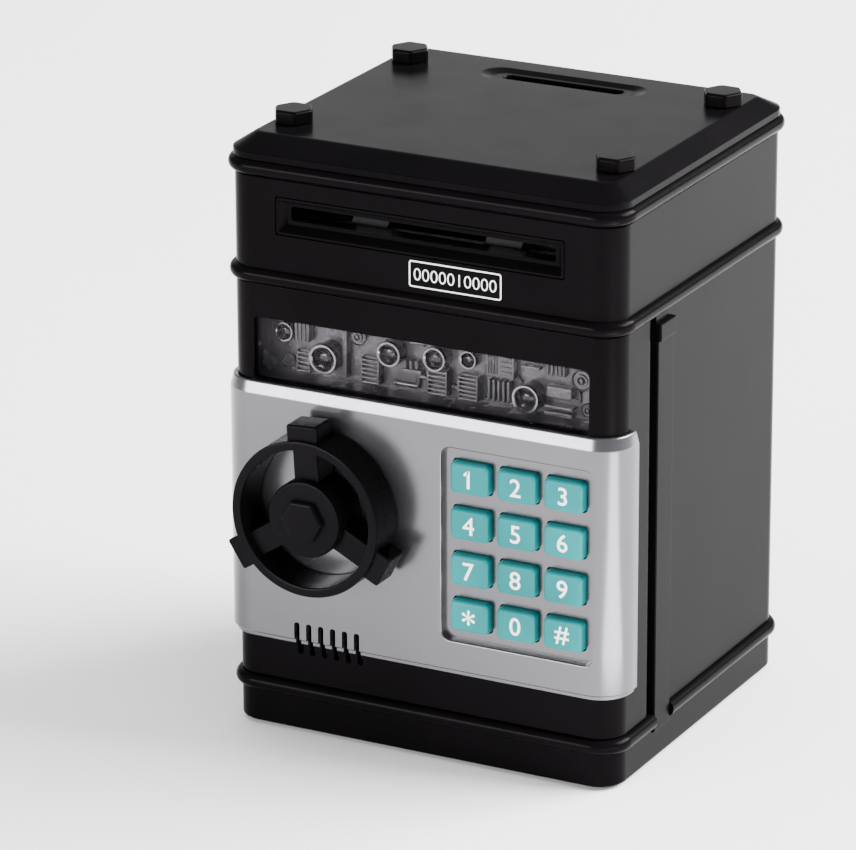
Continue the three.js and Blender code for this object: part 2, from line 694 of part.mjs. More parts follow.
// ---- keypad -------------------------------------------------------------------------------------
const keyNames = ['1', '2', '3', '4', '5', '6', '7', '8', '9', 'star', '0', 'hash'];
const flangeThickness = 1;
const flangeMargin = 0.8;
const flangeFront = trayBack + clearance;
const flangeBack = flangeFront + flangeThickness;
const membraneFront = flangeBack + keyTravel + clearance;
const membraneThickness = 1;
const boardFront = membraneFront + membraneThickness + clearance;
const boardThickness = 1.6;
const speakerRadius = 13;
const speakerZ = doorBottom + wall + speakerRadius + 3;

function keyPlaces() {
  return keyNames.map((name, i) => ({
    name,
    x: keypadX + (i % 3 - 1) * keyPitchX,
    z: keypadZ + (1.5 - Math.floor(i / 3)) * keyPitchZ,
  }));
}

function makeKeypad() {
  for (const { name, x, z } of keyPlaces()) {
    const halfW = keyWidth / 2;
    const halfH = keyHeight / 2;
    const face = trayFloor - keyProud;
    const cap = loft('y', [
      [halfW, halfH, 1.4, flangeFront + 0.5],
      [halfW, halfH, 1.4, face + 1.3],
      [halfW - 0.5, halfH - 0.5, 1.2, face + 0.4],
      [halfW - 1.2, halfH - 1.2, 0.9, face],
    ], x, z, 2);
    const flange = plate(
      roundedRect(halfW + flangeMargin, halfH + flangeMargin, 1, x, z), 'y', flangeFront, flangeBack, 1,
    );
    const dome = rod('y', 2, flangeBack - 0.2, flangeBack + 0.3, x, z, 8);
    add(`key_${name}`, 'teal', joined(cap, flange, dome));
  }
  const halfX = trayHalfX - 0.8;
  add('keypad_membrane', 'rubber', plate(
    roundedRect(halfX - 1, trayHalfZ, 2, keypadX - 0.8, keypadZ),
    'y', membraneFront, membraneFront + membraneThickness, 1,
  ));
  const board = plate(
    roundedRect(halfX, trayHalfZ + 8, 2, keypadX - 0.8, keypadZ),
    'y', boardFront, boardFront + boardThickness, 1,
  );
  const chip = box(
    keypadX - 6, keypadX + 6, boardFront + 1, boardFront + boardThickness + 2, keypadZ - 5, keypadZ + 5,
  );
  add('keypad_board', 'board', board.add(chip));
}

// ---- window and the moulded machinery behind it -------------------------------------------------
const lensFront = frameInner + clearance;
const lensThickness = 1.5;
const reliefBack = lensFront + lensThickness + 10;

function makeWindow() {
  const halfW = windowWidth / 2 + 2;
  const halfH = windowHeight / 2 + 1.4;
  add('window_lens', 'clear', plate(
    roundedRect(halfW, halfH, 1.5, 0, windowZ), 'y', lensFront, lensFront + lensThickness, 2,
  ));
  const tray = plate(roundedRect(halfW, halfH, 1.5, 0, windowZ), 'y', reliefBack - 6, reliefBack, 2);
  const well = plate(
    roundedRect(halfW - 1.5, halfH - 1.5, 1, 0, windowZ), 'y', reliefBack - 7, reliefBack - 1.5, 2,
  );
  const face = reliefBack - 1.6;
  const ring = (x, z, outer, inner, tall) => rod('y', outer, face - tall, face, x, z, 12)
    .subtract(rod('y', inner, face - tall - 1, face - 0.8, x, z, 8));
  const block = (x, z, w, h, tall) => box(x - w / 2, x + w / 2, face - tall, face, z - h / 2, z + h / 2);
  const middle = windowZ;
  const machinery = [
    ring(-44, middle + 2, 5.2, 2.6, 5), block(-33, middle - 2, 9, 11, 4), ring(-22, middle + 3, 4, 1.8, 5),
    block(-12, middle - 3, 7, 9, 5), ring(-2, middle + 3.5, 4.4, 2, 6), ring(8, middle + 4, 4.2, 1.8, 5),
    block(1, middle - 5, 8, 6, 4), block(12, middle - 5, 6, 6, 5), block(22, middle + 1, 9, 13, 4),
    ring(32, middle - 3, 6, 3, 6), block(44, middle + 4, 7, 7, 5), ring(48, middle - 5, 3.4, 1.4, 5),
  ];
  const pipes = [
    rod('x', 1.3, -halfW + 1, halfW - 1, face - 1.2, middle + 8, 8),
    rod('x', 1.1, -halfW + 1, halfW - 1, face - 1, middle - 8.2, 8),
  ];
  add('mechanism_relief', 'relief', joined(tray.subtract(well), ...machinery, ...pipes));
}

// ---- door back and lock -------------------------------------------------------------------------
const rackTip = knobZ + pitchRadius - rackModule;
const boltZ = knobZ + pitchRadius + 1.25 * rackModule;
const boltLeft = knobX - boltReach + 16;
const boltTravel = pitchRadius * Math.PI / 2;
const boltRight = knobX + boltTravel + 3 * rackModule * Math.PI;
const plungerX = knobX + 6;
const plungerHalf = 2;
const plungerTravel = 3;
const buttonX = keypadX - 18;
const buttonZ = doorBottom + 14;
const buttonRadius = 2.5;
const solenoidLow = boltZ + boltHeight + 7;

function makeDoorBack() {
  const halfX = right - wall - clearance;
  const cover = box(-halfX, hingeX - hingePinRadius - wall - 3 * clearance, doorBackFront, doorBackRear,
    doorBottom + wall + clearance, doorTop - wall - clearance);
  const shaftHole = rod(
    'y', shaftRadius + clearance + boreEase, doorBackFront - 1, doorBackRear + 1, knobX, knobZ,
  );
  const buttonHole = rod('y', buttonRadius + clearance, doorBackFront - 1, doorBackRear + 1, buttonX, buttonZ);
  const guides = [boltLeft + 6, boltRight - 5].map((x) => (
    box(x - 2, x + 2, doorBackRear - 1, boltRear + 2, rackTip - wall, boltZ + boltHeight + wall)
  ));
  const channel = box(boltLeft - 10, boltRight + 1, boltFront - clearance, boltRear + clearance,
    rackTip - clearance, boltZ + boltHeight + clearance);
  add('door_back', 'dark', joined(cover, ...guides).subtract(channel).subtract(shaftHole).subtract(buttonHole));
  const cap = rod('y', buttonRadius, doorBackFront - 1, doorBackRear + 1.6, buttonX, buttonZ);
  const collar = rod('y', buttonRadius + 1.2, doorBackFront - 1.5, doorBackFront - clearance, buttonX, buttonZ);
  add('reset_button', 'dark', cap.add(collar));
}

function rackTeeth() {
  const pitch = Math.PI * rackModule;
  const lean = Math.tan(THREE.MathUtils.degToRad(20));
  const root = boltZ + 0.2;
  const pitchLine = knobZ + pitchRadius;
  const halfAt = (z) => pitch / 4 - 0.15 + (z - pitchLine) * lean;
  return [-1.5, -0.5, 0.5, 1.5, 2.5, 3.5].map((step) => {
    const x = knobX + step * pitch;
    const tooth = new THREE.Shape([
      new THREE.Vector2(x - halfAt(rackTip), rackTip), new THREE.Vector2(x + halfAt(rackTip), rackTip),
      new THREE.Vector2(x + halfAt(root), root), new THREE.Vector2(x - halfAt(root), root),
    ]);
    return plate(tooth, 'y', boltFront, boltRear);
  });
}

function makeLock() {
  const bar = box(boltLeft, boltRight, boltFront, boltRear, boltZ, boltZ + boltHeight);
  const notches = [0, boltTravel].map((shift) => box(
    plungerX + shift - plungerHalf - clearance, plungerX + shift + plungerHalf + clearance,
    boltFront - 1, boltRear + 1, boltZ + boltHeight - plungerTravel + 0.5, boltZ + boltHeight + 1,
  ));
  let bolt = joined(bar, ...rackTeeth());
  for (const notch of notches) bolt = bolt.subtract(notch);
  add('lock_bolt', 'steel', bolt);
  const tooth = Math.PI / 2;
  const pinion = plate(gearShape(rackModule, pinionTeeth, tooth, knobX, knobZ), 'y', boltFront, boltRear);
  const pinionBore = rod('y', spigotRadius + clearance, boltFront - 1, boltRear + 1, knobX, knobZ, 12);
  add('lock_pinion', 'brass', pinion.subtract(pinionBore));
  const plunger = box(
    plungerX - plungerHalf, plungerX + plungerHalf, boltFront + 0.3, boltRear - 0.3,
    boltZ + boltHeight + clearance, solenoidLow + 8,
  );
  add('code_plunger', 'steel', plunger);
  const yoke = box(
    plungerX - 8, plungerX + 8, doorBackRear + clearance, boltRear + 3, solenoidLow, solenoidLow + 14,
  );
  const bore = box(
    plungerX - plungerHalf - clearance, plungerX + plungerHalf + clearance,
    boltFront, boltRear, solenoidLow - 1, solenoidLow + 12,
  );
  add('code_solenoid', 'brass', yoke.subtract(bore));
  const reach = boltRear + 1;
  const shaft = rod('y', shaftRadius, knobBack + 4, doorBackRear + 1, knobX, knobZ);
  const spigot = rod('y', spigotRadius, doorBackRear, reach, knobX, knobZ, 12);
  add('knob_shaft', 'steel', shaft.add(spigot));
}

function makeKnob() {
  const rim = rod('y', knobRadius, knobFront, knobBack, knobX, knobZ, 40)
    .subtract(rod('y', knobRadius - knobRim, knobFront - 1, knobBack + 1, knobX, knobZ, 40));
  const hub = rod('y', hubRadius, knobFront, knobBack, knobX, knobZ, 24);
  const angles = [93, 213, 333].map(THREE.MathUtils.degToRad);
  const arm = (from, to, width, y0, y1) => angles.map((angle) => {
    const piece = box(from, to, y0, y1, -width / 2, width / 2);
    return piece.rotate([0, -THREE.MathUtils.radToDeg(angle), 0]).translate([knobX, 0, knobZ]);
  });
  const spokes = arm(hubRadius - 2, knobRadius - 1, spokeWidth, knobFront + spokeSetback, knobBack);
  const lugs = arm(
    knobRadius - 1.5, knobRadius + lugProud, lugWidth, knobFront + lugSetback, knobBack - 2,
  );
  const bore = rod('y', shaftRadius + clearance, knobBack - 4 - clearance, knobBack + 1, knobX, knobZ);
  const capSeat = rod('y', wheelBoltStem + clearance, knobFront - 1, knobFront + 4, knobX, knobZ, 12);
  add('knob_wheel', 'black', joined(rim, hub, ...spokes, ...lugs).subtract(bore).subtract(capSeat));
  const head = rod('y', wheelBoltRadius, knobFront - boltCapProud, knobFront - clearance, knobX, knobZ, 6);
  const stem = rod('y', wheelBoltStem, knobFront - 1, knobFront + 3, knobX, knobZ, 12);
  add('knob_bolt_cap', 'black', head.add(stem));
}

function makeSpeaker() {
  const rim = rod('y', speakerRadius, frameInner + clearance, frameInner + 4, ventX, speakerZ, 20);
  const magnet = rod('y', 6, frameInner + 3, frameInner + 8, ventX, speakerZ, 16);
  add('speaker', 'dark', rim.add(magnet));
}

function makeHingePins() {
  const lower = [footLift + wall + 2 + clearance, doorBottom + 7];
  const upper = [doorTop - 7, floorTop + 1.5];
  for (const [name, [from, to]] of [['lower', lower], ['upper', upper]]) {
    add(`hinge_pin_${name}`, 'steel', rod('z', hingePinRadius, from, to, hingeX, hingeY, 12));
  }
}

makeBase();
makeBatteries();
makeRearCase();
makeUpperHousing();
makeBezel();
makeLid();
makeFeed();
makeMainBoard();
makeDoorFrame();
makeDoorPanel();
makeKeypad();
makeWindow();
makeDoorBack();
makeLock();
makeKnob();
makeSpeaker();
makeHingePins();

export default bank;
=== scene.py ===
import math

import bmesh
import bpy
from mathutils import Matrix, Vector


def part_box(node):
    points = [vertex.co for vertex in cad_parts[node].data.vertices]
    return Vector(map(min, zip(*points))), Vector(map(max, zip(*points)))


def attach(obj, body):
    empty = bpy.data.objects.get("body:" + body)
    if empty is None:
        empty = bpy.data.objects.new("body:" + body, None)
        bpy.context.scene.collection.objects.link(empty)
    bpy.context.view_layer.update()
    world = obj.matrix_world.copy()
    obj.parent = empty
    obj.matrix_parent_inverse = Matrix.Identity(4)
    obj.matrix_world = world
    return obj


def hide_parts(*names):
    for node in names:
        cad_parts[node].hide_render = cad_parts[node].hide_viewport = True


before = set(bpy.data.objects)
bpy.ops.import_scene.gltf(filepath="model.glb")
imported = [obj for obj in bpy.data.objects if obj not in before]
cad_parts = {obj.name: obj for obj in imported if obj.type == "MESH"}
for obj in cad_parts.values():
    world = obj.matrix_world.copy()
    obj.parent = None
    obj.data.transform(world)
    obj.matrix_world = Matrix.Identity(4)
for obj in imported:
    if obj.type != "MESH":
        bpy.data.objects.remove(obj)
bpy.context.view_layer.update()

# Shapes are drawn in millimetres with Y measured from the middle of the case, as the part's source
# has them, and turned into metres in the row frame when a piece is finished.
MM = 0.001
tray_low, tray_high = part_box("base_tray")
CASE_Y = (tray_low.y + tray_high.y) / 2


def span(node):
    """Lowest and highest corner of a CAD node, in millimetres from the middle of the case."""
    shift = Vector((0, CASE_Y, 0))
    low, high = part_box(node)
    return (low - shift) / MM, (high - shift) / MM


# ---- sizes --------------------------------------------------------------------------------------
# Chosen values, which the CAD boxes don't give.
GAP = 0.3
WALL = 2.4
THROUGH = 1.0  # how far a cutter runs past the face that it opens
CORNER = 8.5
CORNER_STEPS = 12
BEAD_HALF = 2.3
PIN_RADIUS = 1.5
PIN_HOLE = PIN_RADIUS + GAP
SHAFT_HOLE = 3.4
POST_STEM = 2.2
SILL = 11.3  # length of the cut in the base's bead beside the pilaster

# Places and sizes read from the CAD nodes' boxes.
door_low, door_high = span("door_frame")
base_low, base_high = span("base_tray")
house_low, house_high = span("upper_housing")
lid_low, lid_high = span("lid")
panel_low, panel_high = span("door_panel")
bezel_low, bezel_high = span("bill_slot_bezel")
lens_low, lens_high = span("window_lens")
wheel_low, wheel_high = span("knob_wheel")
shaft_low, shaft_high = span("knob_shaft")
pin_low, pin_high = span("hinge_pin_upper")

HALF_X = door_high.x
FRONT = door_low.y
HALF_Y = -FRONT
BEAD_OUT = base_high.x - HALF_X
BASE_BEAD = door_low.z - GAP - BEAD_HALF
MID_BEAD = house_low.z + BEAD_HALF
LID_BEAD = lid_low.z + BEAD_HALF
LID_TOP = lid_high.z
KNOB_X = (shaft_low.x + shaft_high.x) / 2
KNOB_Z = (shaft_low.z + shaft_high.z) / 2
HINGE_X = (pin_low.x + pin_high.x) / 2
HINGE_Y = (pin_low.y + pin_high.y) / 2
PANEL_FRONT = panel_low.y
SKIN = FRONT - PANEL_FRONT
FRAME_INNER = FRONT + WALL


def middle(node):
    """The middle of a CAD node's box."""
    low, high = span(node)
    return (low + high) / 2


# The keypad, in its sunk tray.
KEY_NAMES = ("1", "2", "3", "4", "5", "6", "7", "8", "9", "star", "0", "hash")
KEY_GLYPHS = dict(zip(KEY_NAMES, "123456789*0#"))
KEYPAD = (middle("key_1") + middle("key_hash")) / 2
KEY_HALF = (6.4, 4.9)
KEY_CORNER = 1.5
TRAY_HALF = (25.0, 30.4)
TRAY_CORNER = 3.0
TRAY_FLOOR = PANEL_FRONT + 2.3
TRAY_BACK = TRAY_FLOOR + 2

# The window, the bill slot and the speaker slots.
WINDOW_HALF = (55.4, 9.65)
WINDOW_Z = (lens_low.z + lens_high.z) / 2
BEZEL_FLANGE = 3.0
BEZEL_HALF = (bezel_high.x - BEZEL_FLANGE, 5.7)
BEZEL_Z = (bezel_low.z + bezel_high.z) / 2
VENT_COUNT = 6
VENT_PITCH = 4.08
VENT_HALF = (0.92, 5.5)
VENT_X = -30.4
VENT_Z = 31.3


# ---- mesh tools ---------------------------------------------------------------------------------
TOUCHING = 1e-4  # points closer than this are one point
SHARP_ANGLE = 32.0  # degrees between two faces from which their edge stays sharp


def rounded(half_u, half_v, radius, u=0.0, v=0.0, steps=10):
    """Outline of a rectangle with round corners, corner by corner."""
    shortest = 0.001  # what is left of a straight side at least
    radius = min(radius, half_u - shortest, half_v - shortest)
    points = []
    for quarter, (su, sv) in enumerate(((1, 1), (-1, 1), (-1, -1), (1, -1))):
        for i in range(steps + 1):
            angle = (quarter + i / steps) * math.pi / 2
            points.append((
                u + su * (half_u - radius) + radius * math.cos(angle),
                v + sv * (half_v - radius) + radius * math.sin(angle),
            ))
    return points


def circle(radius, u, v, count):
    """Outline of a circle, anticlockwise."""
    return [(u + radius * math.cos(2 * math.pi * i / count),
             v + radius * math.sin(2 * math.pi * i / count)) for i in range(count)]


def soft_polygon(sides, reach, radius, u, v):
    """A regular polygon with round corners; reach is from its middle to a corner before rounding."""
    steps = 6
    half = math.pi / sides
    inner = reach - radius / math.cos(half)
    points = []
    for side in range(sides):
        facing = side * 2 * half
        cu = u + inner * math.cos(facing)
        cv = v + inner * math.sin(facing)
        for i in range(steps + 1):
            angle = facing - half + 2 * half * i / steps
            points.append((cu + radius * math.cos(angle), cv + radius * math.sin(angle)))
    return points


# Where an outline's u and v and its height w go, for each axis that a shape can run along.
PLACES = {
    "x": lambda u, v, w: (w, u, v),
    "y": lambda u, v, w: (u, w, v),
    "z": lambda u, v, w: (u, v, w),
}


def shape(build):
    """A new object, still in millimetres, from a function that fills a bmesh."""
    bm = bmesh.new()
    build(bm)
    bmesh.ops.remove_doubles(bm, verts=bm.verts, dist=TOUCHING)
    bmesh.ops.recalc_face_normals(bm, faces=bm.faces)
    mesh = bpy.data.meshes.new("shape")
    bm.to_mesh(mesh)
    bm.free()
    piece = bpy.data.objects.new("shape", mesh)
    bpy.context.scene.collection.objects.link(piece)
    return piece


def loft(rings, axis="z", closed=False):
    """Skins outlines with equal point counts: rings is a list of (outline, height)."""

    def build(bm):
        loops = [[bm.verts.new(PLACES[axis](u, v, w)) for u, v in outline] for outline, w in rings]
        pairs = list(zip(loops, loops[1:]))
        if closed:
            pairs.append((loops[-1], loops[0]))
        for low, high in pairs:
            for i in range(len(low)):
                j = (i + 1) % len(low)
                bm.faces.new((low[i], low[j], high[j], high[i]))
        if not closed:
            bm.faces.new(loops[0])
            bm.faces.new(loops[-1])

    return shape(build)


def slab(outline, low, high, axis="z", edge=0.0, steps=4):
    """An outline given thickness, with its end edges rounded off by moving points inwards."""
    if not edge:
        return loft([(outline, low), (outline, high)], axis)
    rings = []
    for i in range(steps + 1):
        angle = math.pi / 2 * i / steps
        rings.append((shrunk(outline, edge * (1 - math.sin(angle))), low + edge * (1 - math.cos(angle))))
    rings += [(ring, low + high - w) for ring, w in reversed(rings)]
    return loft(rings, axis)


def shrunk(outline, inset):
    """Moves an outline's points inwards by an inset, along the bisector of its two edges."""
    count = len(outline)
    result = []
    for i, (u, v) in enumerate(outline):
        before = Vector(outline[i - 1])
        after = Vector(outline[(i + 1) % count])
        here = Vector((u, v))
        a = (here - before).normalized()
        b = (after - here).normalized()
        normal = Vector((-(a.y + b.y), a.x + b.x))
        if normal.length < 1e-6:
            normal = Vector((-a.y, a.x))
        normal.normalize()
        spread = max(normal.dot(Vector((-a.y, a.x))), 0.3)
        moved = here + normal * inset / spread
        result.append((moved.x, moved.y))
    return result


def brick(x0, x1, y0, y1, z0, z1, edge=0.0):
    """A box between six planes, with its edges rounded when asked."""
    middle_x, middle_y = (x0 + x1) / 2, (y0 + y1) / 2
    outline = rounded((x1 - x0) / 2, (y1 - y0) / 2, max(edge, 0.01), middle_x, middle_y, 3)
    return slab(outline, z0, z1, "z", edge, 3)


def turned(profile, axis, u, v, count=64):
    """A lathe: profile is (radius, height) pairs, from axis to axis or closed on itself."""
    closed = profile[0][0] > 1e-6
    rings = [(circle(max(r, 1e-5), u, v, count), w) for r, w in profile]
    return loft(rings, axis, closed)


def round_rod(radius, low, high, axis, u, v, count=48):
    """A plain round bar, or the cutter for a round hole."""
    return slab(circle(radius, u, v, count), low, high, axis)


def combined(pieces):
    """Puts several meshes into the first object, without a boolean."""
    first = pieces[0]
    bm = bmesh.new()
    for piece in pieces:
        bm.from_mesh(piece.data)
    bm.to_mesh(first.data)
    bm.free()
    for piece in pieces[1:]:
        bpy.data.objects.remove(piece, do_unlink=True)
    return first


def settle(piece):
    """Applies an object's modifiers to its mesh."""
    graph = bpy.context.evaluated_depsgraph_get()
    mesh = bpy.data.meshes.new_from_object(piece.evaluated_get(graph))
    piece.modifiers.clear()
    piece.data = mesh


def boolean(piece, tools, operation):
    """Joins tools to a piece, or cuts them from it, and uses them up."""
    for tool in tools:
        change = piece.modifiers.new(operation, "BOOLEAN")
        change.object = tool
        change.operation = operation
        change.solver = "MANIFOLD"
    settle(piece)
    for tool in tools:
        bpy.data.objects.remove(tool, do_unlink=True)
    return piece


def cut(piece, *tools):
    """Cuts every tool from a piece."""
    return boolean(piece, tools, "DIFFERENCE")


def add(piece, *tools):
    """Joins every tool to a piece."""
    return boolean(piece, tools, "UNION")


def finish(piece, name, body, material, nodes=()):
    """Moves a shape into the row frame in metres, shades it and hands it to the frame."""
    piece.data.transform(Matrix.Translation((0, CASE_Y, 0)) @ Matrix.Scale(MM, 4))
    piece.name = name
    piece.data.name = name
    piece.data.shade_smooth()
    piece.data.set_sharp_from_angle(angle=math.radians(SHARP_ANGLE))
    weighted = piece.modifiers.new("even_normals", "WEIGHTED_NORMAL")
    weighted.keep_sharp = True
    piece.data.materials.clear()
    piece.data.materials.append(material)
    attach(piece, body)
    if nodes:
        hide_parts(*nodes)


# ---- materials ----------------------------------------------------------------------------------
class Nodes:
    """A small helper round one material's node tree."""

    def __init__(self, name, color):
        self.material = bpy.data.materials.new(name)
        self.material.use_nodes = True
        self.material.diffuse_color = (*color, 1)
        self.tree = self.material.node_tree
        self.shader = self.tree.nodes["Principled BSDF"]
        self.place = self.tree.nodes.new("ShaderNodeTexCoord").outputs["Object"]

    def noise(self, scale, detail=4.0, rough=0.55, stretch=None):
        """Noise in the piece's own space; stretch draws it out along some of its axes."""
        node = self.tree.nodes.new("ShaderNodeTexNoise")
        node.inputs["Scale"].default_value = scale
        node.inputs["Detail"].default_value = detail
        node.inputs["Roughness"].default_value = rough
        source = self.place
        if stretch:
            mapping = self.tree.nodes.new("ShaderNodeMapping")
            mapping.inputs["Scale"].default_value = stretch
            self.tree.links.new(source, mapping.inputs["Vector"])
            source = mapping.outputs["Vector"]
        self.tree.links.new(source, node.inputs["Vector"])
        return node.outputs["Fac"]

    def ramp(self, value, low, high, at=(0.35, 0.65)):
        """Turns a value into a colour between two."""
        node = self.tree.nodes.new("ShaderNodeValToRGB")
        node.color_ramp.elements[0].position = at[0]
        node.color_ramp.elements[0].color = (*low, 1)
        node.color_ramp.elements[1].position = at[1]
        node.color_ramp.elements[1].color = (*high, 1)
        self.tree.links.new(value, node.inputs["Fac"])
        return node.outputs["Color"]

    def spread(self, value, low, high):
        """Stretches the middle of a noise over a range of values."""
        node = self.tree.nodes.new("ShaderNodeMapRange")
        node.inputs["From Min"].default_value = 0.3
        node.inputs["From Max"].default_value = 0.7
        node.inputs["To Min"].default_value = low
        node.inputs["To Max"].default_value = high
        self.tree.links.new(value, node.inputs["Value"])
        return node.outputs["Result"]

    def mixed(self, a, b):
        """An even mix of two colours."""
        node = self.tree.nodes.new("ShaderNodeMix")
        node.data_type = "RGBA"
        node.inputs["Factor"].default_value = 0.5
        self.tree.links.new(a, node.inputs["A"])
        self.tree.links.new(b, node.inputs["B"])
        return node.outputs["Result"]

    def bump(self, height, distance, strength=1.0, normal=None):
        """A normal tilted by a height, on top of another normal when one is given."""
        node = self.tree.nodes.new("ShaderNodeBump")
        node.inputs["Distance"].default_value = distance
        node.inputs["Strength"].default_value = strength
        self.tree.links.new(height, node.inputs["Height"])
        if normal is not None:
            self.tree.links.new(normal, node.inputs["Normal"])
        return node.outputs["Normal"]

    def into(self, value, name):
        """Links a value to one of the shader's inputs."""
        self.tree.links.new(value, self.shader.inputs[name])

    def even(self, name, value):
        """Sets one of the shader's inputs to the same value everywhere."""
        self.shader.inputs[name].default_value = value


def tinted(color, share):
    """A colour made darker or lighter."""
    return tuple(min(channel * share, 1.0) for channel in color)


def moulded_plastic(name, color, rough, specular, grain, grain_scale=1400.0):
    """Injection-moulded plastic: flow shading, handling marks and a fine spark-eroded grain."""
    n = Nodes(name, color)
    flow = n.noise(28.0, 3.0, 0.5)
    smears = n.noise(60.0, 5.0, 0.65, (1.0, 1.0, 0.35))
    grain_noise = n.noise(grain_scale, 2.0, 0.5)
    n.into(n.ramp(flow, tinted(color, 0.86), tinted(color, 1.14)), "Base Color")
    n.into(n.spread(smears, rough * 0.86, rough * 1.16), "Roughness")
    n.into(n.bump(grain_noise, grain * MM), "Normal")
    n.even("Specular IOR Level", specular)
    n.even("Specular Tint", (1.0, 0.87, 0.93, 1))
    return n.material


def metallic_paint(name, color, rough, metallic):
    """Silver paint on plastic: fine flakes in the colour, a soft orange-peel, a thin clear coat."""
    n = Nodes(name, color)
    flakes = n.ramp(n.noise(5200.0, 1.0, 0.5), tinted(color, 0.8), tinted(color, 1.2), (0.35, 0.68))
    cloud = n.ramp(n.noise(22.0, 3.0, 0.5), tinted(color, 0.94), tinted(color, 1.06))
    n.into(n.mixed(flakes, cloud), "Base Color")
    n.into(n.spread(n.noise(90.0, 4.0, 0.6), rough * 0.9, rough * 1.12), "Roughness")
    peel = n.bump(n.noise(420.0, 2.0, 0.5), 0.003 * MM)
    n.into(n.bump(n.noise(5200.0, 1.0, 0.5), 0.001 * MM, 0.5, peel), "Normal")
    n.even("Metallic", metallic)
    n.even("Coat Weight", 0.25)
    n.even("Coat Roughness", 0.3)
    return n.material


def machined_metal(name, color, rough, stretch=(1.0, 40.0, 40.0)):
    """Drawn or turned metal, with fine lines along one way."""
    n = Nodes(name, color)
    lines = n.noise(160.0, 5.0, 0.6, stretch)
    n.into(n.ramp(lines, tinted(color, 0.82), tinted(color, 1.12)), "Base Color")
    n.into(n.spread(lines, rough * 0.75, rough * 1.3), "Roughness")
    n.into(n.bump(lines, 0.006 * MM), "Normal")
    n.even("Metallic", 1.0)
    return n.material


def soft_rubber(name, color):
    """Dull rubber with a little dust in its grain."""
    n = Nodes(name, color)
    dust = n.noise(140.0, 6.0, 0.7)
    n.into(n.ramp(dust, tinted(color, 0.75), tinted(color, 1.5), (0.4, 0.75)), "Base Color")
    n.into(n.spread(dust, 0.7, 0.92), "Roughness")
    n.into(n.bump(n.noise(1800.0, 3.0, 0.6), 0.03 * MM), "Normal")
    n.even("Specular IOR Level", 0.3)
    return n.material


def clear_plastic(name):
    """The window: clear styrene with a few faint smears."""
    n = Nodes(name, (0.8, 0.8, 0.84))
    smears = n.noise(45.0, 5.0, 0.6)
    n.into(n.ramp(smears, (0.93, 0.92, 0.95), (0.97, 0.97, 0.98)), "Base Color")
    n.into(n.spread(smears, 0.02, 0.07), "Roughness")
    n.even("Transmission Weight", 1.0)
    n.even("IOR", 1.45)
    n.even("Alpha", 0.06)
    return n.material


def circuit_board(name):
    """Green solder resist over a glass weave."""
    n = Nodes(name, (0.02, 0.15, 0.07))
    weave = n.noise(900.0, 2.0, 0.5, (1.0, 4.0, 1.0))
    n.into(n.ramp(weave, (0.015, 0.11, 0.05), (0.03, 0.19, 0.09)), "Base Color")
    n.into(n.spread(n.noise(120.0), 0.3, 0.5), "Roughness")
    n.into(n.bump(weave, 0.02 * MM), "Normal")
    return n.material


def printed_ink(name, color):
    """Pad-printed ink that covers a little unevenly."""
    n = Nodes(name, color)
    cover = n.noise(700.0, 3.0, 0.6)
    n.into(n.ramp(cover, tinted(color, 0.9), color, (0.2, 0.5)), "Base Color")
    n.into(n.spread(cover, 0.4, 0.6), "Roughness")
    n.into(n.bump(cover, 0.006 * MM), "Normal")
    return n.material


BLACK = moulded_plastic("case_black", (0.0021, 0.0018, 0.0021), 0.24, 0.02, 0.012)
WHEEL_BLACK = moulded_plastic("wheel_black", (0.003, 0.0028, 0.0032), 0.27, 0.03, 0.014)
INNER_BLACK = moulded_plastic("inner_black", (0.03, 0.03, 0.032), 0.55, 0.4, 0.03)
SILVER = metallic_paint("door_silver", (0.118, 0.114, 0.125), 0.22, 0.88)
TEAL = moulded_plastic("key_teal", (0.003, 0.168, 0.172), 0.38, 0.14, 0.012, 1100.0)
CLEAR = clear_plastic("window_clear")
RELIEF = metallic_paint("relief_metallic", (0.042, 0.036, 0.044), 0.26, 0.5)
# Painted highlight: the porthole rims get a paint far brighter than the relief's, standing in for the
# highlights on their curved faces.
RIM_PAINTED_HIGHLIGHT = metallic_paint("rim_painted_highlight", (0.17, 0.155, 0.175), 0.14, 1.0)
STEEL = machined_metal("steel", (0.56, 0.57, 0.59), 0.3)
BRASS = machined_metal("brass", (0.62, 0.44, 0.17), 0.32, (40.0, 1.0, 40.0))
RUBBER = soft_rubber("soft_rubber", (0.02, 0.02, 0.022))
ACETAL = moulded_plastic("gear_white", (0.72, 0.7, 0.64), 0.45, 0.5, 0.02)
BOARD = circuit_board("board_green")
CELL = metallic_paint("cell_wrap", (0.2, 0.22, 0.25), 0.35, 0.7)
EYE = moulded_plastic("dark_lens", (0.004, 0.0035, 0.005), 0.08, 0.5, 0.002)
INK = printed_ink("white_ink", (0.93, 0.93, 0.94))


# ---- case ---------------------------------------------------------------------------------------
def case_outline(offset):
    """The case's outline seen from above, grown by an offset."""
    return rounded(HALF_X + offset, HALF_Y + offset, max(CORNER + offset, 1.0), steps=CORNER_STEPS)


def bead(z):
    """Rings of the round bead that runs round the case, about its middle height z."""
    steps = 12
    rings = []
    for i in range(steps + 1):
        angle = math.pi * (i / steps - 0.5)
        rings.append((case_outline(BEAD_OUT * math.cos(angle)), z + BEAD_HALF * math.sin(angle)))
    return rings


def room(low, high):
    """A cutter for the space inside the case's walls."""
    return loft([(case_outline(-WALL), low), (case_outline(-WALL), high)])


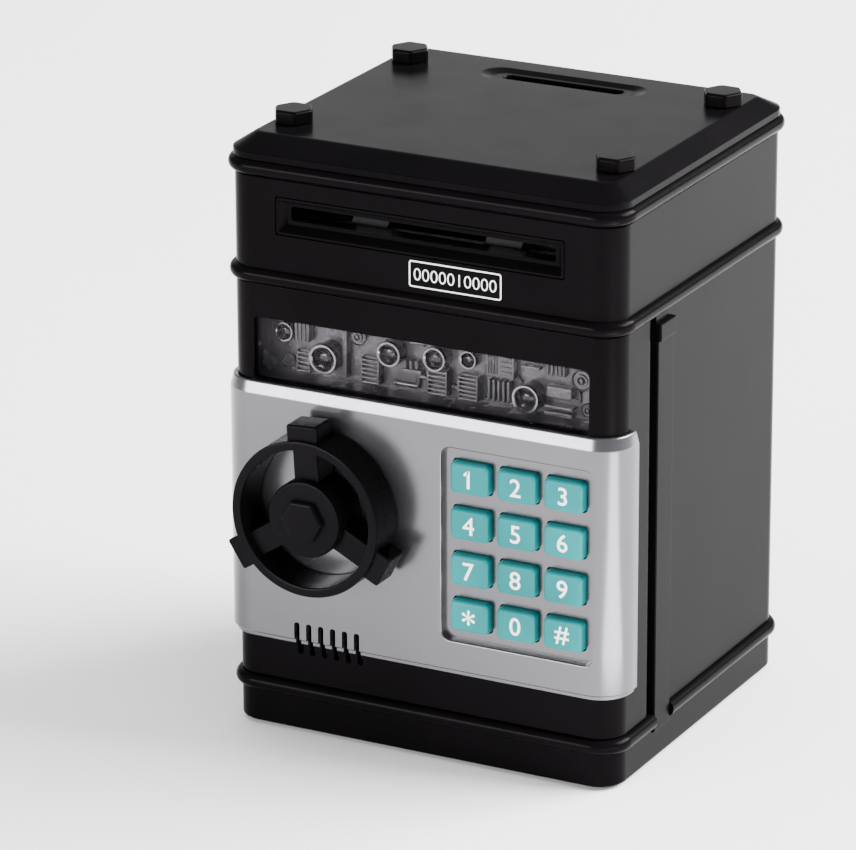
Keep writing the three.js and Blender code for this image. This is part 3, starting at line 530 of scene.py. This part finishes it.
def make_base():
    """The tray under the case: its bead, the battery bay and the four rubber feet."""
    under = base_low.z
    toe = 1.0
    foot = [(case_outline(-toe), under)]
    foot += [(case_outline(toe * math.sin(a) - toe), under + toe - toe * math.cos(a))
             for a in (0.4, 0.8, 1.2, 1.57)]
    shell = loft(foot + bead(BASE_BEAD))
    mouth = BASE_BEAD + 5
    cut(shell, room(under + WALL, mouth))
    cover_low, cover_high = span("battery_cover")
    bay_half = -cover_low.y + GAP
    bay_left = cover_low.x - GAP
    bay_right = -bay_left
    roof = span("battery_1")[1].z + GAP
    add(shell, brick(bay_left - WALL, cover_high.x + WALL, -bay_half - WALL, bay_half + WALL,
                     under + 0.5, roof + WALL))
    bay = brick(bay_left, bay_right, -bay_half, bay_half, under - THROUGH, roof)
    cover_seat = brick(bay_right - THROUGH, cover_high.x + GAP, -bay_half, bay_half,
                       under - THROUGH, under + WALL + GAP)
    sill_cut = brick(HALF_X - GAP, HALF_X + 4, door_high.y, door_high.y + SILL, BASE_BEAD - 4, BASE_BEAD + 4)
    cut(shell, bay, cover_seat, sill_cut,
        round_rod(PIN_HOLE, under + WALL + 2, mouth, "z", HINGE_X, HINGE_Y))
    pad_radius = 6.0
    for i in range(1, 5):
        centre = middle(f"foot_pad_{i}")
        cut(shell, round_rod(pad_radius + GAP, under - THROUGH, under + 0.9, "z", centre.x, centre.y))
        pad = turned([(0, 0), (pad_radius - 0.8, 0), (pad_radius - 0.2, 0.25), (pad_radius, 0.8),
                      (pad_radius, 1.6), (0, 1.6)], "z", centre.x, centre.y)
        finish(pad, f"foot_{i}", "case", RUBBER, (f"foot_pad_{i}",))
    finish(shell, "base_shell", "case", BLACK, ("base_tray",))


def make_rear_case():
    """The back and side walls, with the pilaster behind the hinge and the lock's strike."""
    low, high = door_low.z, door_high.z
    foot = span("rear_case")[0].z
    front = door_high.y + GAP
    shell = loft([(case_outline(0), low), (case_outline(0), high)])
    cut(shell, room(low - THROUGH, high + THROUGH),
        brick(-HALF_X - THROUGH, HALF_X + THROUGH, FRONT - THROUGH, front, low - THROUGH, high + THROUGH))
    wide = SILL - 2 * GAP
    centre_y = front + wide / 2
    pilaster = slab(rounded(1.65, wide / 2, 0.45, HALF_X - 0.85, centre_y, 4), foot, high - 7.5, "z", 0.4)
    cut(pilaster, brick(HALF_X - WALL, HALF_X, front - THROUGH, front + wide + THROUGH, foot - THROUGH, low))
    cap = slab(rounded(2.05, wide / 2, 0.6, HALF_X - 0.45, centre_y, 4), high - 8, high - 2.5, "z", 0.5)
    strike = brick(1.2 - HALF_X, WALL + 8 - HALF_X, front, front + 2.7, KNOB_Z + 3, KNOB_Z + 16)
    add(shell, pilaster, cap, strike)
    finish(shell, "rear_shell", "case", BLACK, ("rear_case",))


def make_upper_housing():
    """The band above the door, with the middle bead and the floor over the money compartment."""
    top = house_high.z
    softening = 0.3
    shell = loft(bead(MID_BEAD) + [(case_outline(0), top - softening), (case_outline(-softening), top)])
    floor = MID_BEAD - BEAD_HALF + WALL
    below = MID_BEAD - 6
    hatch = slab(rounded(HALF_X - 18, HALF_Y / 2 + 4, 4, 0, 14), below, floor + THROUGH)
    slot = slab(rounded(BEZEL_HALF[0] + GAP, BEZEL_HALF[1] + GAP, 0.8, 0, BEZEL_Z),
                FRONT - 4, FRAME_INNER + THROUGH, "y")
    pin_hole = round_rod(PIN_HOLE, below, floor + THROUGH, "z", HINGE_X, HINGE_Y)
    cut(shell, room(floor, top + THROUGH), hatch, slot, pin_hole)
    finish(shell, "upper_shell", "case", BLACK, ("upper_housing",))


def make_bezel():
    """The sunk frame round the bill slot, whose sides slope in to the opening."""
    half_x, half_z = BEZEL_HALF
    slot_z = BEZEL_Z + 0.5
    rim = 0.9
    body = slab(rounded(half_x, half_z, 0.8, 0, BEZEL_Z), FRONT, FRAME_INNER + THROUGH, "y", 0.25)
    add(body, slab(rounded(half_x + BEZEL_FLANGE, half_z + 2, 2, 0, BEZEL_Z), FRAME_INNER + GAP,
                   FRAME_INNER + 2, "y"))
    add(body, slab(rounded(45.5, 3.8, 1, 0, slot_z), FRAME_INNER + THROUGH, bezel_high.y, "y"))
    mouth = loft([
        (rounded(half_x - rim + 0.5, half_z - rim + 0.5, 0.8, 0, BEZEL_Z), FRONT - 0.5),
        (rounded(half_x - rim + 0.12, half_z - rim + 0.12, 0.6, 0, BEZEL_Z), FRONT - 0.01),
        (rounded(half_x - rim, half_z - rim, 0.5, 0, BEZEL_Z), FRONT + 0.2),
        (rounded(half_x - 2.6, half_z - 2.4, 0.5, 0, BEZEL_Z + 0.35), FRONT + 2.5),
    ], "y")
    slot = slab(rounded(43.5, 2.2, 0.8, 0, slot_z), FRONT - THROUGH, bezel_high.y + THROUGH, "y")
    cut(body, mouth, slot)
    finish(body, "bill_bezel", "case", BLACK, ("bill_slot_bezel",))


def make_label():
    """A generic counter printed under the bill slot: a thin outlined box with digits."""
    left, right = -3.0, 27.2
    low, high = 148.5, 156.6
    line = 0.4
    centre = ((left + right) / 2, (low + high) / 2)
    half = ((right - left) / 2, (high - low) / 2)
    surface = FRONT - 0.05
    box = slab(rounded(*half, 0.8, *centre, 4), surface, FRONT + 0.02, "y")
    hole = rounded(half[0] - line, half[1] - line, 0.5, *centre, 4)
    cut(box, slab(hole, FRONT - THROUGH, FRONT + THROUGH, "y"))
    digits = glyph("0000010000", 3.7, *centre, surface, 0.07, -0.018)
    finish(combined([box, digits]), "counter_print", "case", INK)


def glyph(text, height, x, z, y, thickness, weight=0.012):
    """Digits as a thin raised print facing the front, as tall as asked and centred on x and z."""
    height_share = 0.73  # a capital's height over the font's size, before the exact stretch below
    curve = bpy.data.curves.new("glyph", "FONT")
    curve.body = text
    curve.size = height / height_share
    curve.extrude = thickness / 2
    curve.offset = weight * height
    curve.resolution_u = 6
    holder = bpy.data.objects.new("glyph", curve)
    bpy.context.scene.collection.objects.link(holder)
    graph = bpy.context.evaluated_depsgraph_get()
    mesh = bpy.data.meshes.new_from_object(holder.evaluated_get(graph))
    bpy.data.objects.remove(holder, do_unlink=True)
    low = Vector([min(v.co[i] for v in mesh.vertices) for i in range(3)])
    high = Vector([max(v.co[i] for v in mesh.vertices) for i in range(3)])
    centre = (low + high) / 2
    stretch = height / (high.y - low.y)
    mesh.transform(Matrix.Rotation(math.pi / 2, 4, "X") @ Matrix.Diagonal((stretch, stretch, 1, 1))
                   @ Matrix.Translation(-centre))
    mesh.transform(Matrix.Translation((x, y + thickness / 2 - 0.02, z)))
    bm = bmesh.new()
    bm.from_mesh(mesh)
    bmesh.ops.remove_doubles(bm, verts=bm.verts, dist=TOUCHING)
    bmesh.ops.recalc_face_normals(bm, faces=bm.faces)
    bm.to_mesh(mesh)
    bm.free()
    piece = bpy.data.objects.new("glyph", mesh)
    bpy.context.scene.collection.objects.link(piece)
    return piece


def make_lid():
    """The lid: a bead, an upright edge, a chamfer that is wider at the front, and the sunk coin slot."""
    edge_top = LID_BEAD + 4.6
    edge_out = 0.5
    chamfer_x, chamfer_y = 5.5, 8.0
    rise = LID_TOP - edge_top

    def slope(share, z):
        """A ring on the chamfer, a share of the way up it."""
        half_x = HALF_X + edge_out - (chamfer_x + edge_out) * share
        half_y = HALF_Y + edge_out - (chamfer_y + edge_out) * share
        return rounded(half_x, half_y, CORNER + edge_out - (CORNER - 3.0) * share, steps=CORNER_STEPS), z

    rings = bead(LID_BEAD)
    edge = ((0.35, LID_BEAD + BEAD_HALF), (edge_out, LID_BEAD + BEAD_HALF + 0.2), (edge_out, edge_top - 0.25))
    rings += [(case_outline(offset), z) for offset, z in edge]
    rings.append(slope(0.02, edge_top + 0.02))
    rings += [slope(0.9, edge_top + rise * 0.9), slope(0.96, edge_top + rise * 0.955),
              slope(1.02, edge_top + rise * 0.99), slope(1.1, LID_TOP)]
    shell = loft(rings)
    ceiling = rounded(HALF_X - chamfer_x - WALL, HALF_Y - chamfer_y - WALL, 5.5, steps=CORNER_STEPS)
    cut(shell, loft([(case_outline(-WALL), lid_low.z - THROUGH), (case_outline(-WALL), edge_top - 0.8),
                     (ceiling, LID_TOP - WALL)]))
    slot_y = HALF_Y - 22.5
    dish = loft([(rounded(x, y, radius, 0, slot_y), LID_TOP + z) for x, y, radius, z in (
        (23, 3.5, 3.4, -0.9), (23.6, 3.8, 3.7, -0.86), (27, 5.8, 5.7, -0.08), (27.8, 6.3, 6.2, 0),
        (28.6, 6.9, 6.8, 0.3))])
    slot = loft([(rounded(x, y, radius, 0, slot_y), z) for x, y, radius, z in (
        (20, 2.15, 2.14, lid_low.z), (20, 2.15, 2.14, LID_TOP - 1.3), (20.4, 2.5, 2.5, LID_TOP - 0.88),
        (20.8, 2.9, 2.9, LID_TOP))])
    cut(shell, dish, slot)
    for i in range(1, 5):
        centre = middle(f"lid_post_{i}")
        cut(shell, round_rod(POST_STEM + GAP, lid_low.z, LID_TOP + THROUGH, "z", centre.x, centre.y, 24))
        make_post(i, centre)
    finish(shell, "lid_shell", "case", BLACK, ("lid",))


def make_post(number, centre):
    """A hexagonal stud with softened corners, on a round stem that goes into the lid."""
    seat = LID_TOP + GAP
    top = span(f"lid_post_{number}")[1].z
    reach = 6.4
    stem = circle(POST_STEM, centre.x, centre.y, 42)
    rings = [(stem, seat - WALL), (stem, seat)]
    rings += [(soft_polygon(6, reach - d, 1.6, centre.x, centre.y), z) for d, z in (
        (0.15, seat), (0, seat + 0.15), (0, top - 0.9), (0.12, top - 0.5), (0.45, top - 0.16), (1.0, top))]
    finish(loft(rings), f"stud_{number}", "case", BLACK, (f"lid_post_{number}",))


# ---- door ---------------------------------------------------------------------------------------
def flared(outline_of, depth, mouth, lip):
    """A cutter with a rounded mouth: it widens by lip over the last lip of its way to the front."""
    steps = 4
    rings = [(outline_of(0), depth), (outline_of(0), mouth + lip)]
    for i in range(1, steps + 1):
        angle = math.pi / 2 * i / steps
        rings.append((outline_of(lip * (1 - math.cos(angle))), mouth + lip * (1 - math.sin(angle))))
    rings.append((outline_of(lip), mouth - THROUGH))
    return loft(rings, "y")


def vent_cutters(low, high):
    """The row of speaker slots, which goes through the silver panel and the door's wall."""
    first = VENT_X - VENT_PITCH * (VENT_COUNT - 1) / 2
    return [slab(rounded(*VENT_HALF, 0.8, first + i * VENT_PITCH, VENT_Z, 4), low, high, "y")
            for i in range(VENT_COUNT)]


def round_stretch(cx, cy, radius, start):
    """A quarter turn of the door's outline, anticlockwise from an angle."""
    angles = [start + math.pi / 2 * i / CORNER_STEPS for i in range(CORNER_STEPS + 1)]
    return [(cx + radius * math.cos(angle), cy + radius * math.sin(angle)) for angle in angles]


def door_outline():
    """The door seen from above, round about the hinge pin so that it can swing past the case."""
    points = round_stretch(-HALF_X + CORNER, FRONT + CORNER, CORNER, math.pi)
    points += round_stretch(HALF_X - CORNER, FRONT + CORNER, CORNER, 1.5 * math.pi)
    points += round_stretch(HINGE_X, HINGE_Y, 4.5, 0.0)
    points.append((-HALF_X, door_high.y))
    return points


def tray_outline(grow, radius):
    """The keypad tray's outline, grown on all sides."""
    return rounded(TRAY_HALF[0] + grow, TRAY_HALF[1] + grow, radius, KEYPAD.x, KEYPAD.z)


def key_outline(name, inset, steps=8, radius=KEY_CORNER):
    """A key's outline, drawn in by an inset."""
    centre = middle(f"key_{name}")
    return rounded(KEY_HALF[0] - inset, KEY_HALF[1] - inset, radius, centre.x, centre.z, steps)


def make_door_frame():
    """The black door: an open box with hinge bosses, the window, and openings for keypad and wheel."""
    low, high = door_low.z, door_high.z
    inner = FRAME_INNER
    shell = slab(door_outline(), low, high, "z", 0.3)
    hollow = 23
    cut(shell, slab(rounded(HALF_X - WALL, hollow, 5, 0, inner + hollow), low + WALL, high - WALL))
    boss_radius = PIN_RADIUS + WALL + GAP
    boss_height = 8
    add(shell, round_rod(boss_radius, low + 0.5, low + boss_height, "z", HINGE_X, HINGE_Y),
        round_rod(boss_radius, high - boss_height, high - 0.5, "z", HINGE_X, HINGE_Y),
        round_rod(5.4, inner - 1, inner + 4, "y", KNOB_X, KNOB_Z))
    window = flared(lambda grow: rounded(WINDOW_HALF[0] + grow, WINDOW_HALF[1] + grow, 1.5, 0, WINDOW_Z),
                    inner + THROUGH, FRONT, 0.7)
    tray = slab(tray_outline(1.8, TRAY_CORNER), FRONT - THROUGH, TRAY_BACK + 0.9, "y")
    pin_hole = PIN_RADIUS + 0.35
    cut(shell, window, tray, round_rod(SHAFT_HOLE, FRONT - THROUGH, inner + 5, "y", KNOB_X, KNOB_Z),
        round_rod(pin_hole, low - THROUGH, low + boss_height + THROUGH, "z", HINGE_X, HINGE_Y),
        round_rod(pin_hole, high - boss_height - THROUGH, high + THROUGH, "z", HINGE_X, HINGE_Y),
        *vent_cutters(FRONT - THROUGH, inner + THROUGH))
    finish(shell, "door_shell", "door", BLACK, ("door_frame",))


def make_door_panel():
    """The silver skin over the door's lower front: a bright bevel above, a step below, the sunk tray."""
    low, high = panel_low.z, panel_high.z
    full, half = SKIN, GAP + 1.0
    step = low + 1.4
    crown = high - 3.5
    rings = [(case_outline(offset), z) for offset, z in (
        (half - 0.15, low), (half, low + 0.15), (half, step - 0.02), (full - 0.3, step), (full, step + 0.35),
        (full, crown - 0.5), (full - 0.03, crown - 0.2), (full - 0.12, crown + 0.1),
        (half + 0.12, high - 0.5), (half - 0.1, high - 0.15), (half - 0.4, high))]
    skin = loft(rings)
    below, above = low - THROUGH, high + THROUGH
    cut(skin, loft([(case_outline(GAP), below), (case_outline(GAP), above)]),
        brick(-2 * HALF_X, 2 * HALF_X, panel_high.y, 2 * HALF_Y, below, above))
    add(skin, slab(tray_outline(1.5, TRAY_CORNER), PANEL_FRONT + 1, TRAY_BACK, "y"))
    recess = flared(lambda grow: tray_outline(grow, TRAY_CORNER + grow), TRAY_FLOOR, PANEL_FRONT, 0.55)
    cut(skin, recess, round_rod(SHAFT_HOLE, PANEL_FRONT - THROUGH, FRONT + THROUGH, "y", KNOB_X, KNOB_Z),
        *vent_cutters(PANEL_FRONT - THROUGH, FRONT))
    holes = [slab(key_outline(name, -GAP, 5), TRAY_FLOOR - 0.5, TRAY_BACK + 0.5, "y") for name in KEY_NAMES]
    cut(skin, combined(holes))
    finish(skin, "silver_panel", "door", SILVER, ("door_panel",))


def make_keys():
    """Twelve caps, each with a crowned top, a flange behind the tray's floor and a printed sign."""
    flange = 0.8
    crown = 1.15
    draft = 0.08
    steps = 5
    for name in KEY_NAMES:
        low, high = span(f"key_{name}")
        centre = (low + high) / 2
        face = low.y
        back = high.y - 0.35
        rings = [(key_outline(name, -flange, radius=1.2), y) for y in (back, back - 1)]
        rings += [(key_outline(name, 0), back - 1.02), (key_outline(name, draft), face + crown)]
        for i in range(1, steps + 1):
            angle = math.pi / 2 * i / steps
            rings.append((key_outline(name, draft + crown * (1 - math.cos(angle))),
                          face + crown * (1 - math.sin(angle))))
        cap = loft(rings, "y")
        finish(cap, f"cap_{name}", f"key_{name}", TEAL, (f"key_{name}",))
        height = 4.8 if name == "star" else 5.6
        mark = glyph(KEY_GLYPHS[name], height, centre.x, centre.z, face - 0.03, 0.06)
        if name == "1":
            flag = ((-1.6, 1.55), (-1.35, 0.95), (0.0, 1.75), (0.0, 2.78), (-0.4, 2.78))
            flag = [(centre.x + u, centre.z + v) for u, v in flag]
            combined([mark, slab(flag, face - 0.05, face + 0.01, "y")])
        finish(mark, f"print_{name}", f"key_{name}", INK)


def make_wheel():
    """The vault wheel: an open ring, a hub and three spokes that end in square lugs, with its bolt."""
    front, back = wheel_low.y, wheel_high.y
    outer, rim = 24.5, 3.0
    inner = outer - rim
    rounding = 0.7
    hub_radius = 12
    ring = turned([
        (inner + rounding, front), (outer - rounding, front), (outer - 0.2, front + 0.22),
        (outer, front + rounding), (outer, back - 0.3), (outer - 0.3, back), (inner + 0.3, back),
        (inner, back - 0.3), (inner, front + rounding), (inner + 0.2, front + 0.22),
    ], "y", KNOB_X, KNOB_Z, 96)
    hub = turned([
        (0, front), (hub_radius - 1.4, front), (hub_radius - 0.4, front + 0.25), (hub_radius, front + 0.9),
        (hub_radius, back - 0.2), (hub_radius - 0.2, back), (0, back),
    ], "y", KNOB_X, KNOB_Z, 72)
    arms = []
    for angle in (93, 213, 333):
        turn = Matrix.Translation((KNOB_X, 0, KNOB_Z)) @ Matrix.Rotation(-math.radians(angle), 4, "Y")
        spoke = brick(hub_radius - 2, outer - 1, front + 3, back - 0.01, -4, 4, 0.5)
        lug = brick(outer - 1.6, outer + 4.4, front + 1.5, back - 2, -5, 5, 0.7)
        for arm in (spoke, lug):
            arm.data.transform(turn)
            arms.append(arm)
    wheel = add(ring, hub, *arms)
    stem = 2.3
    cut(wheel, round_rod(3.3, back - 4.3, back + THROUGH, "y", KNOB_X, KNOB_Z),
        round_rod(stem + GAP, front - THROUGH, front + 4, "y", KNOB_X, KNOB_Z))
    finish(wheel, "vault_wheel", "knob", WHEEL_BLACK, ("knob_wheel",))
    face = span("knob_bolt_cap")[0].y
    bolt = [(soft_polygon(6, 7 - d, 0.7, KNOB_X, KNOB_Z), y) for d, y in (
        (1.3, face), (0.55, face + 0.12), (0.12, face + 0.45), (0, face + 0.8), (0, front - GAP))]
    bolt += [(circle(stem, KNOB_X, KNOB_Z, 42), y) for y in (front - GAP, front + 3)]
    finish(loft(bolt, "y"), "wheel_bolt", "knob", WHEEL_BLACK, ("knob_bolt_cap",))


# ---- the moulded machinery behind the window ----------------------------------------------------
def lens_ring(x, z, radius, face, tall):
    """A flat-faced ring, like the rim of a small porthole."""
    return turned([(radius * r, face - tall * w) for r, w in (
        (0.72, 0), (1, 0), (1, 0.75), (0.97, 0.94), (0.92, 1), (0.8, 1), (0.74, 0.95), (0.72, 0.85))],
        "y", x, z, 48)


def lens_dome(x, z, radius, face, tall):
    """The dark stepped lens inside a porthole's rim."""
    profile = [(0, face - 0.02), (radius * 0.7, face - 0.02)]
    profile += [(radius * r, face - tall * w) for r, w in (
        (0.7, 0.4), (0.54, 0.44), (0.5, 0.66), (0.38, 0.76), (0.2, 0.81), (0, 0.82))]
    return turned(profile, "y", x, z, 40)


def dial(x, z, radius, face):
    """A small round dial with a raised rim and a pointed middle."""
    return turned([(radius * r, face - w) for r, w in (
        (0, 0), (1, 0), (1, 0.9), (0.86, 1.2), (0.8, 0.8), (0.6, 0.8), (0.55, 1.3), (0.38, 1.3), (0.33, 0.9),
        (0.15, 1.5), (0, 1.6))], "y", x, z, 40)


def block(x0, x1, z0, z1, face, tall, edge=0.25):
    """A box standing out from the relief's face."""
    return brick(x0, x1, face - tall, face, z0, z1, edge)


def louvres(x0, x1, z0, z1, face, tall, count):
    """A shallow framed block with raised cross bars."""
    frame_width = 0.7
    bars = [block(x0, x1, z0, z1, face, tall * 0.55), block(x0, x0 + frame_width, z0, z1, face, tall),
            block(x1 - frame_width, x1, z0, z1, face, tall)]
    pitch = (z1 - z0) / count
    bars += [block(x0, x1, z0 + (i + 0.15) * pitch, z0 + (i + 0.6) * pitch, face, tall) for i in range(count)]
    return bars


def fins(x0, x1, z0, z1, face, tall, count):
    """A row of upright fins."""
    pitch = (x1 - x0) / count
    return [block(x0 + (i + 0.12) * pitch, x0 + (i + 0.66) * pitch, z0, z1, face, tall) for i in range(count)]


def pipe(points, radius, face):
    """A round pipe laid on the relief, through points (x, z), with ball joints at its bends."""
    pieces = []
    depth = face - radius * 0.6
    for (x0, z0), (x1, z1) in zip(points, points[1:]):
        run = slab(circle(radius, 0, 0, 16), 0, math.hypot(x1 - x0, z1 - z0), "z")
        turn = Matrix.Rotation(math.atan2(x1 - x0, z1 - z0), 4, "Y")
        run.data.transform(Matrix.Translation((x0, depth, z0)) @ turn)
        pieces.append(run)
    ball_radius = radius * 1.25
    ball = [(ball_radius * math.sin(angle), depth - ball_radius * math.cos(angle))
            for angle in [math.pi * i / 10 for i in range(11)]]
    return pieces + [turned(ball, "y", x, z, 16) for x, z in points]


def make_portholes(face):
    """Rims and lenses, each (x, z, radius, height) in the window's plane; the rims take a brighter paint that
    stands in for their highlights.
    """
    places = ((1.0, 124.0, 3.9, 5), (11.7, 125.2, 2.9, 4), (-14.2, 123.2, 4.1, 5), (31.3, 116.6, 4.6, 5.5),
              (-36, 118.4, 4.9, 5.5), (-50, 124.5, 3.2, 4))
    rims = [lens_ring(x, z, radius, face, tall) for x, z, radius, tall in places]
    lenses = [lens_dome(x, z, radius, face, tall) for x, z, radius, tall in places]
    finish(combined(lenses), "porthole_lenses", "door", EYE)
    finish(combined(rims), "porthole_rims", "door", RIM_PAINTED_HIGHLIGHT)


def make_machinery():
    """The moulded relief behind the window: dials, louvres, fins, blocks and pipes in a shallow tray."""
    low, high = span("mechanism_relief")
    face = high.y - 1.6
    half_x = high.x
    half_z = (high.z - low.z) / 2
    rim = 1.2
    mouth = lens_high.y + GAP
    tray = slab(rounded(half_x, half_z, 1.5, 0, WINDOW_Z, 4), mouth, high.y, "y")
    cut(tray, slab(rounded(half_x - rim, half_z - rim, 1, 0, WINDOW_Z, 4), mouth - THROUGH, face, "y"))
    base = WINDOW_Z - 9.6
    make_portholes(face)
    parts = [tray]
    for x, z, radius in ((47.6, 123.6, 3.4), (49.6, 114.6, 2.3), (-26.5, 125.6, 2.8), (-50, 114.6, 2.4)):
        parts.append(dial(x, z, radius, face))
    for x0, x1, height, tall, count in ((-2.2, 4.6, 8.6, 3.4, 6), (8.0, 14.8, 8.2, 3.4, 6),
                                        (-24.5, -18.2, 8.6, 3.2, 6), (-46.4, -41.6, 7.4, 3.0, 5)):
        parts += louvres(x0, x1, base + 0.4, base + height, face, tall, count)
    for x0, x1, z0, z1, tall, count in (
        (17.6, 25.6, base + 1.6, base + 8.2, 3.2, 5), (17.6, 21.4, 122.0, 129.0, 3.6, 4),
        (36.8, 42.4, 124.4, 129.0, 3.0, 4), (-10.6, -4.8, 119.0, 121.6, 2.8, 3),
        (-46.6, -42.4, 122.4, 128.4, 3.6, 3),
    ):
        parts += fins(x0, x1, z0, z1, face, tall, count)
    for x0, x1, z0, z1, tall, edge in (
        (17.0, 26.4, 121.0, 129.6, 3.0, 0.4), (37.0, 45.4, 117.6, 121.2, 3.2, 0.5),
        (36.6, 45.8, base + 0.3, base + 1.6, 3.6, 0.25), (36.6, 45.8, base + 2.4, base + 3.5, 3.6, 0.25),
        (28.6, 34.6, 127.4, 128.4, 2.6, 0.25), (28.6, 34.6, 125.0, 126.0, 2.6, 0.25),
        (36.4, 42.6, 124.0, 129.4, 2.2, 0.25), (-11.0, -4.4, 117.4, 118.8, 2.6, 0.25),
        (-47.0, -42.0, 121.8, 129.0, 3.0, 0.4), (-31.0, -29.4, base + 0.6, 129, 2.6, 0.25),
    ):
        parts.append(block(x0, x1, z0, z1, face, tall, edge))
    parts += [block(22.2, 25.8, 122.6 + 1.5 * i, 123.3 + 1.5 * i, face, 3.6) for i in range(4)]
    for radius, points in (
        (0.7, ((-54, 129.6), (-32, 129.6), (-30, 127.2), (-18, 127.2))),
        (0.6, ((-9, 126.6), (-4.4, 126.6), (-3.6, 129.4), (14, 129.4))),
        (0.85, ((-13.8, base + 1.4), (-6.6, base + 1.4), (-5.8, base + 4.6), (-3.4, base + 4.6))),
        (0.6, ((26.6, 121.2), (28.4, 119.4))),
        (0.55, ((36.0, base + 5.2), (46.8, base + 5.2), (46.8, 119.6))),
        (0.8, ((5.6, base + 3.2), (7.4, base + 3.2))),
        (0.55, ((15.6, base + 1.0), (26.6, base + 1.0))),
    ):
        parts += pipe(points, radius, face)
    finish(combined(parts), "machinery", "door", RELIEF, ("mechanism_relief",))


# ---- pieces that keep their CAD shape -----------------------------------------------------------
CARRIED = {
    "window_lens": CLEAR,
    "cash_floor": INNER_BLACK, "battery_cover": BLACK, "feed_frame": INNER_BLACK, "door_back": INNER_BLACK,
    "speaker": INNER_BLACK, "reset_button": INNER_BLACK,
    "battery_cover_screw": STEEL, "battery_contact_left": STEEL, "battery_contact_right": STEEL,
    "drive_roller_shaft": STEEL, "feed_motor": STEEL, "hinge_pin_lower": STEEL, "hinge_pin_upper": STEEL,
    "knob_shaft": STEEL, "lock_bolt": STEEL, "code_plunger": STEEL,
    "motor_pinion": BRASS, "lock_pinion": BRASS, "code_solenoid": BRASS,
    "drive_tyre_left": RUBBER, "drive_tyre_right": RUBBER, "keypad_membrane": RUBBER,
    "pinch_roller": ACETAL, "drive_gear": ACETAL,
    "main_board": BOARD, "keypad_board": BOARD,
    "battery_1": CELL, "battery_2": CELL, "battery_3": CELL,
}


def soften(node, width):
    """Rounds a CAD node's edges for the eye, without touching its mesh."""
    weld = node.modifiers.new("weld", "WELD")
    weld.merge_threshold = 0.00001
    edges = node.modifiers.new("edges", "BEVEL")
    edges.width = width * MM
    edges.segments = 2
    edges.limit_method = "ANGLE"
    edges.angle_limit = math.radians(35)
    edges.use_clamp_overlap = True


def dress_cad_nodes():
    """Gives the nodes that keep their CAD shape a material and, where teeth allow it, soft edges."""
    for name, material in CARRIED.items():
        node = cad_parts[name]
        node.data.materials.clear()
        node.data.materials.append(material)
        if name not in ("window_lens", "drive_gear", "motor_pinion", "lock_pinion"):
            soften(node, 0.25)


# ---- stage --------------------------------------------------------------------------------------
def make_camera():
    """A long lens from the front right, a little above, rolled by a fifth of a degree."""
    azimuth, elevation, roll = (math.radians(angle) for angle in (27.62, 19.74, -0.20))
    distance = 1.6973
    target = Vector((-27.8 * MM, CASE_Y, 82.5 * MM))
    back = Vector((math.sin(azimuth) * math.cos(elevation), -math.cos(azimuth) * math.cos(elevation),
                   math.sin(elevation)))
    side = Vector((math.cos(azimuth), math.sin(azimuth), 0))
    up = back.cross(side)
    right = side * math.cos(roll) + up * math.sin(roll)
    above = up * math.cos(roll) - side * math.sin(roll)
    camera = bpy.data.objects.new("camera", bpy.data.cameras.new("camera"))
    camera.data.lens = 232.6
    camera.data.sensor_width = 36
    turn = Matrix((right, above, back)).transposed().to_4x4()
    camera.matrix_world = Matrix.Translation(target + back * distance) @ turn
    bpy.context.scene.collection.objects.link(camera)
    bpy.context.scene.camera = camera


def area_light(name, place, aim, width, height, power):
    """A white rectangular light, aimed at a point."""
    lamp = bpy.data.lights.new(name, "AREA")
    lamp.shape = "RECTANGLE"
    lamp.size = width
    lamp.size_y = height
    lamp.energy = power
    holder = bpy.data.objects.new(name, lamp)
    bpy.context.scene.collection.objects.link(holder)
    holder.location = place
    holder.rotation_euler = (Vector(aim) - Vector(place)).to_track_quat("-Z", "Y").to_euler()
    return holder


def make_floor():
    """A wide sheet of pale paper under the bank."""
    reach = 6.0
    mesh = bpy.data.meshes.new("floor")
    mesh.from_pydata([(-reach, -reach, 0), (reach, -reach, 0), (reach, reach, 0), (-reach, reach, 0)], [],
                     [(0, 1, 2, 3)])
    floor = bpy.data.objects.new("floor", mesh)
    bpy.context.scene.collection.objects.link(floor)
    paper = Nodes("pale_paper", (0.93, 0.93, 0.925))
    paper.into(paper.ramp(paper.noise(3.0, 2.0), (0.92, 0.92, 0.915), (0.94, 0.94, 0.935)), "Base Color")
    paper.even("Roughness", 0.9)
    paper.even("Specular IOR Level", 0.1)
    mesh.materials.append(paper.material)


def make_lights():
    """A pale world, soft lights behind, before and above, and a strip low beside the right corner."""
    world = bpy.data.worlds.new("studio")
    world.use_nodes = True
    background = world.node_tree.nodes["Background"]
    background.inputs["Color"].default_value = (0.96, 0.96, 1.0, 1)
    background.inputs["Strength"].default_value = 0.58
    bpy.context.scene.world = world
    area_light("back_wash", (1.9, 1.3, 1.7), (0.3, 0.45, 0.0), 2.4, 1.4, 460)
    area_light("backdrop", (-1.7, 2.3, 0.85), (0.0, 0.0, 0.15), 3.0, 1.3, 15)
    area_light("front_box", (-0.9, -2.0, 0.42), (0.0, 0.0, 0.1), 1.4, 0.5, 74)
    overhead = area_light("overhead", (0.0, 0.3, 2.8), (0.0, 0.3001, 0.0), 3.0, 3.0, 95)
    overhead.visible_glossy = False
    strip = area_light("corner_strip", (0.245, -0.145, 0.004), (0.245, -0.145, 1.0), 0.26, 0.12, 1.3)
    strip.rotation_euler = (math.pi, 0, math.radians(-27.6))
    strip.visible_camera = False


make_base()
make_rear_case()
make_upper_housing()
make_bezel()
make_label()
make_lid()
make_door_frame()
make_door_panel()
make_keys()
make_wheel()
make_machinery()
dress_cad_nodes()
make_camera()
make_floor()
make_lights()
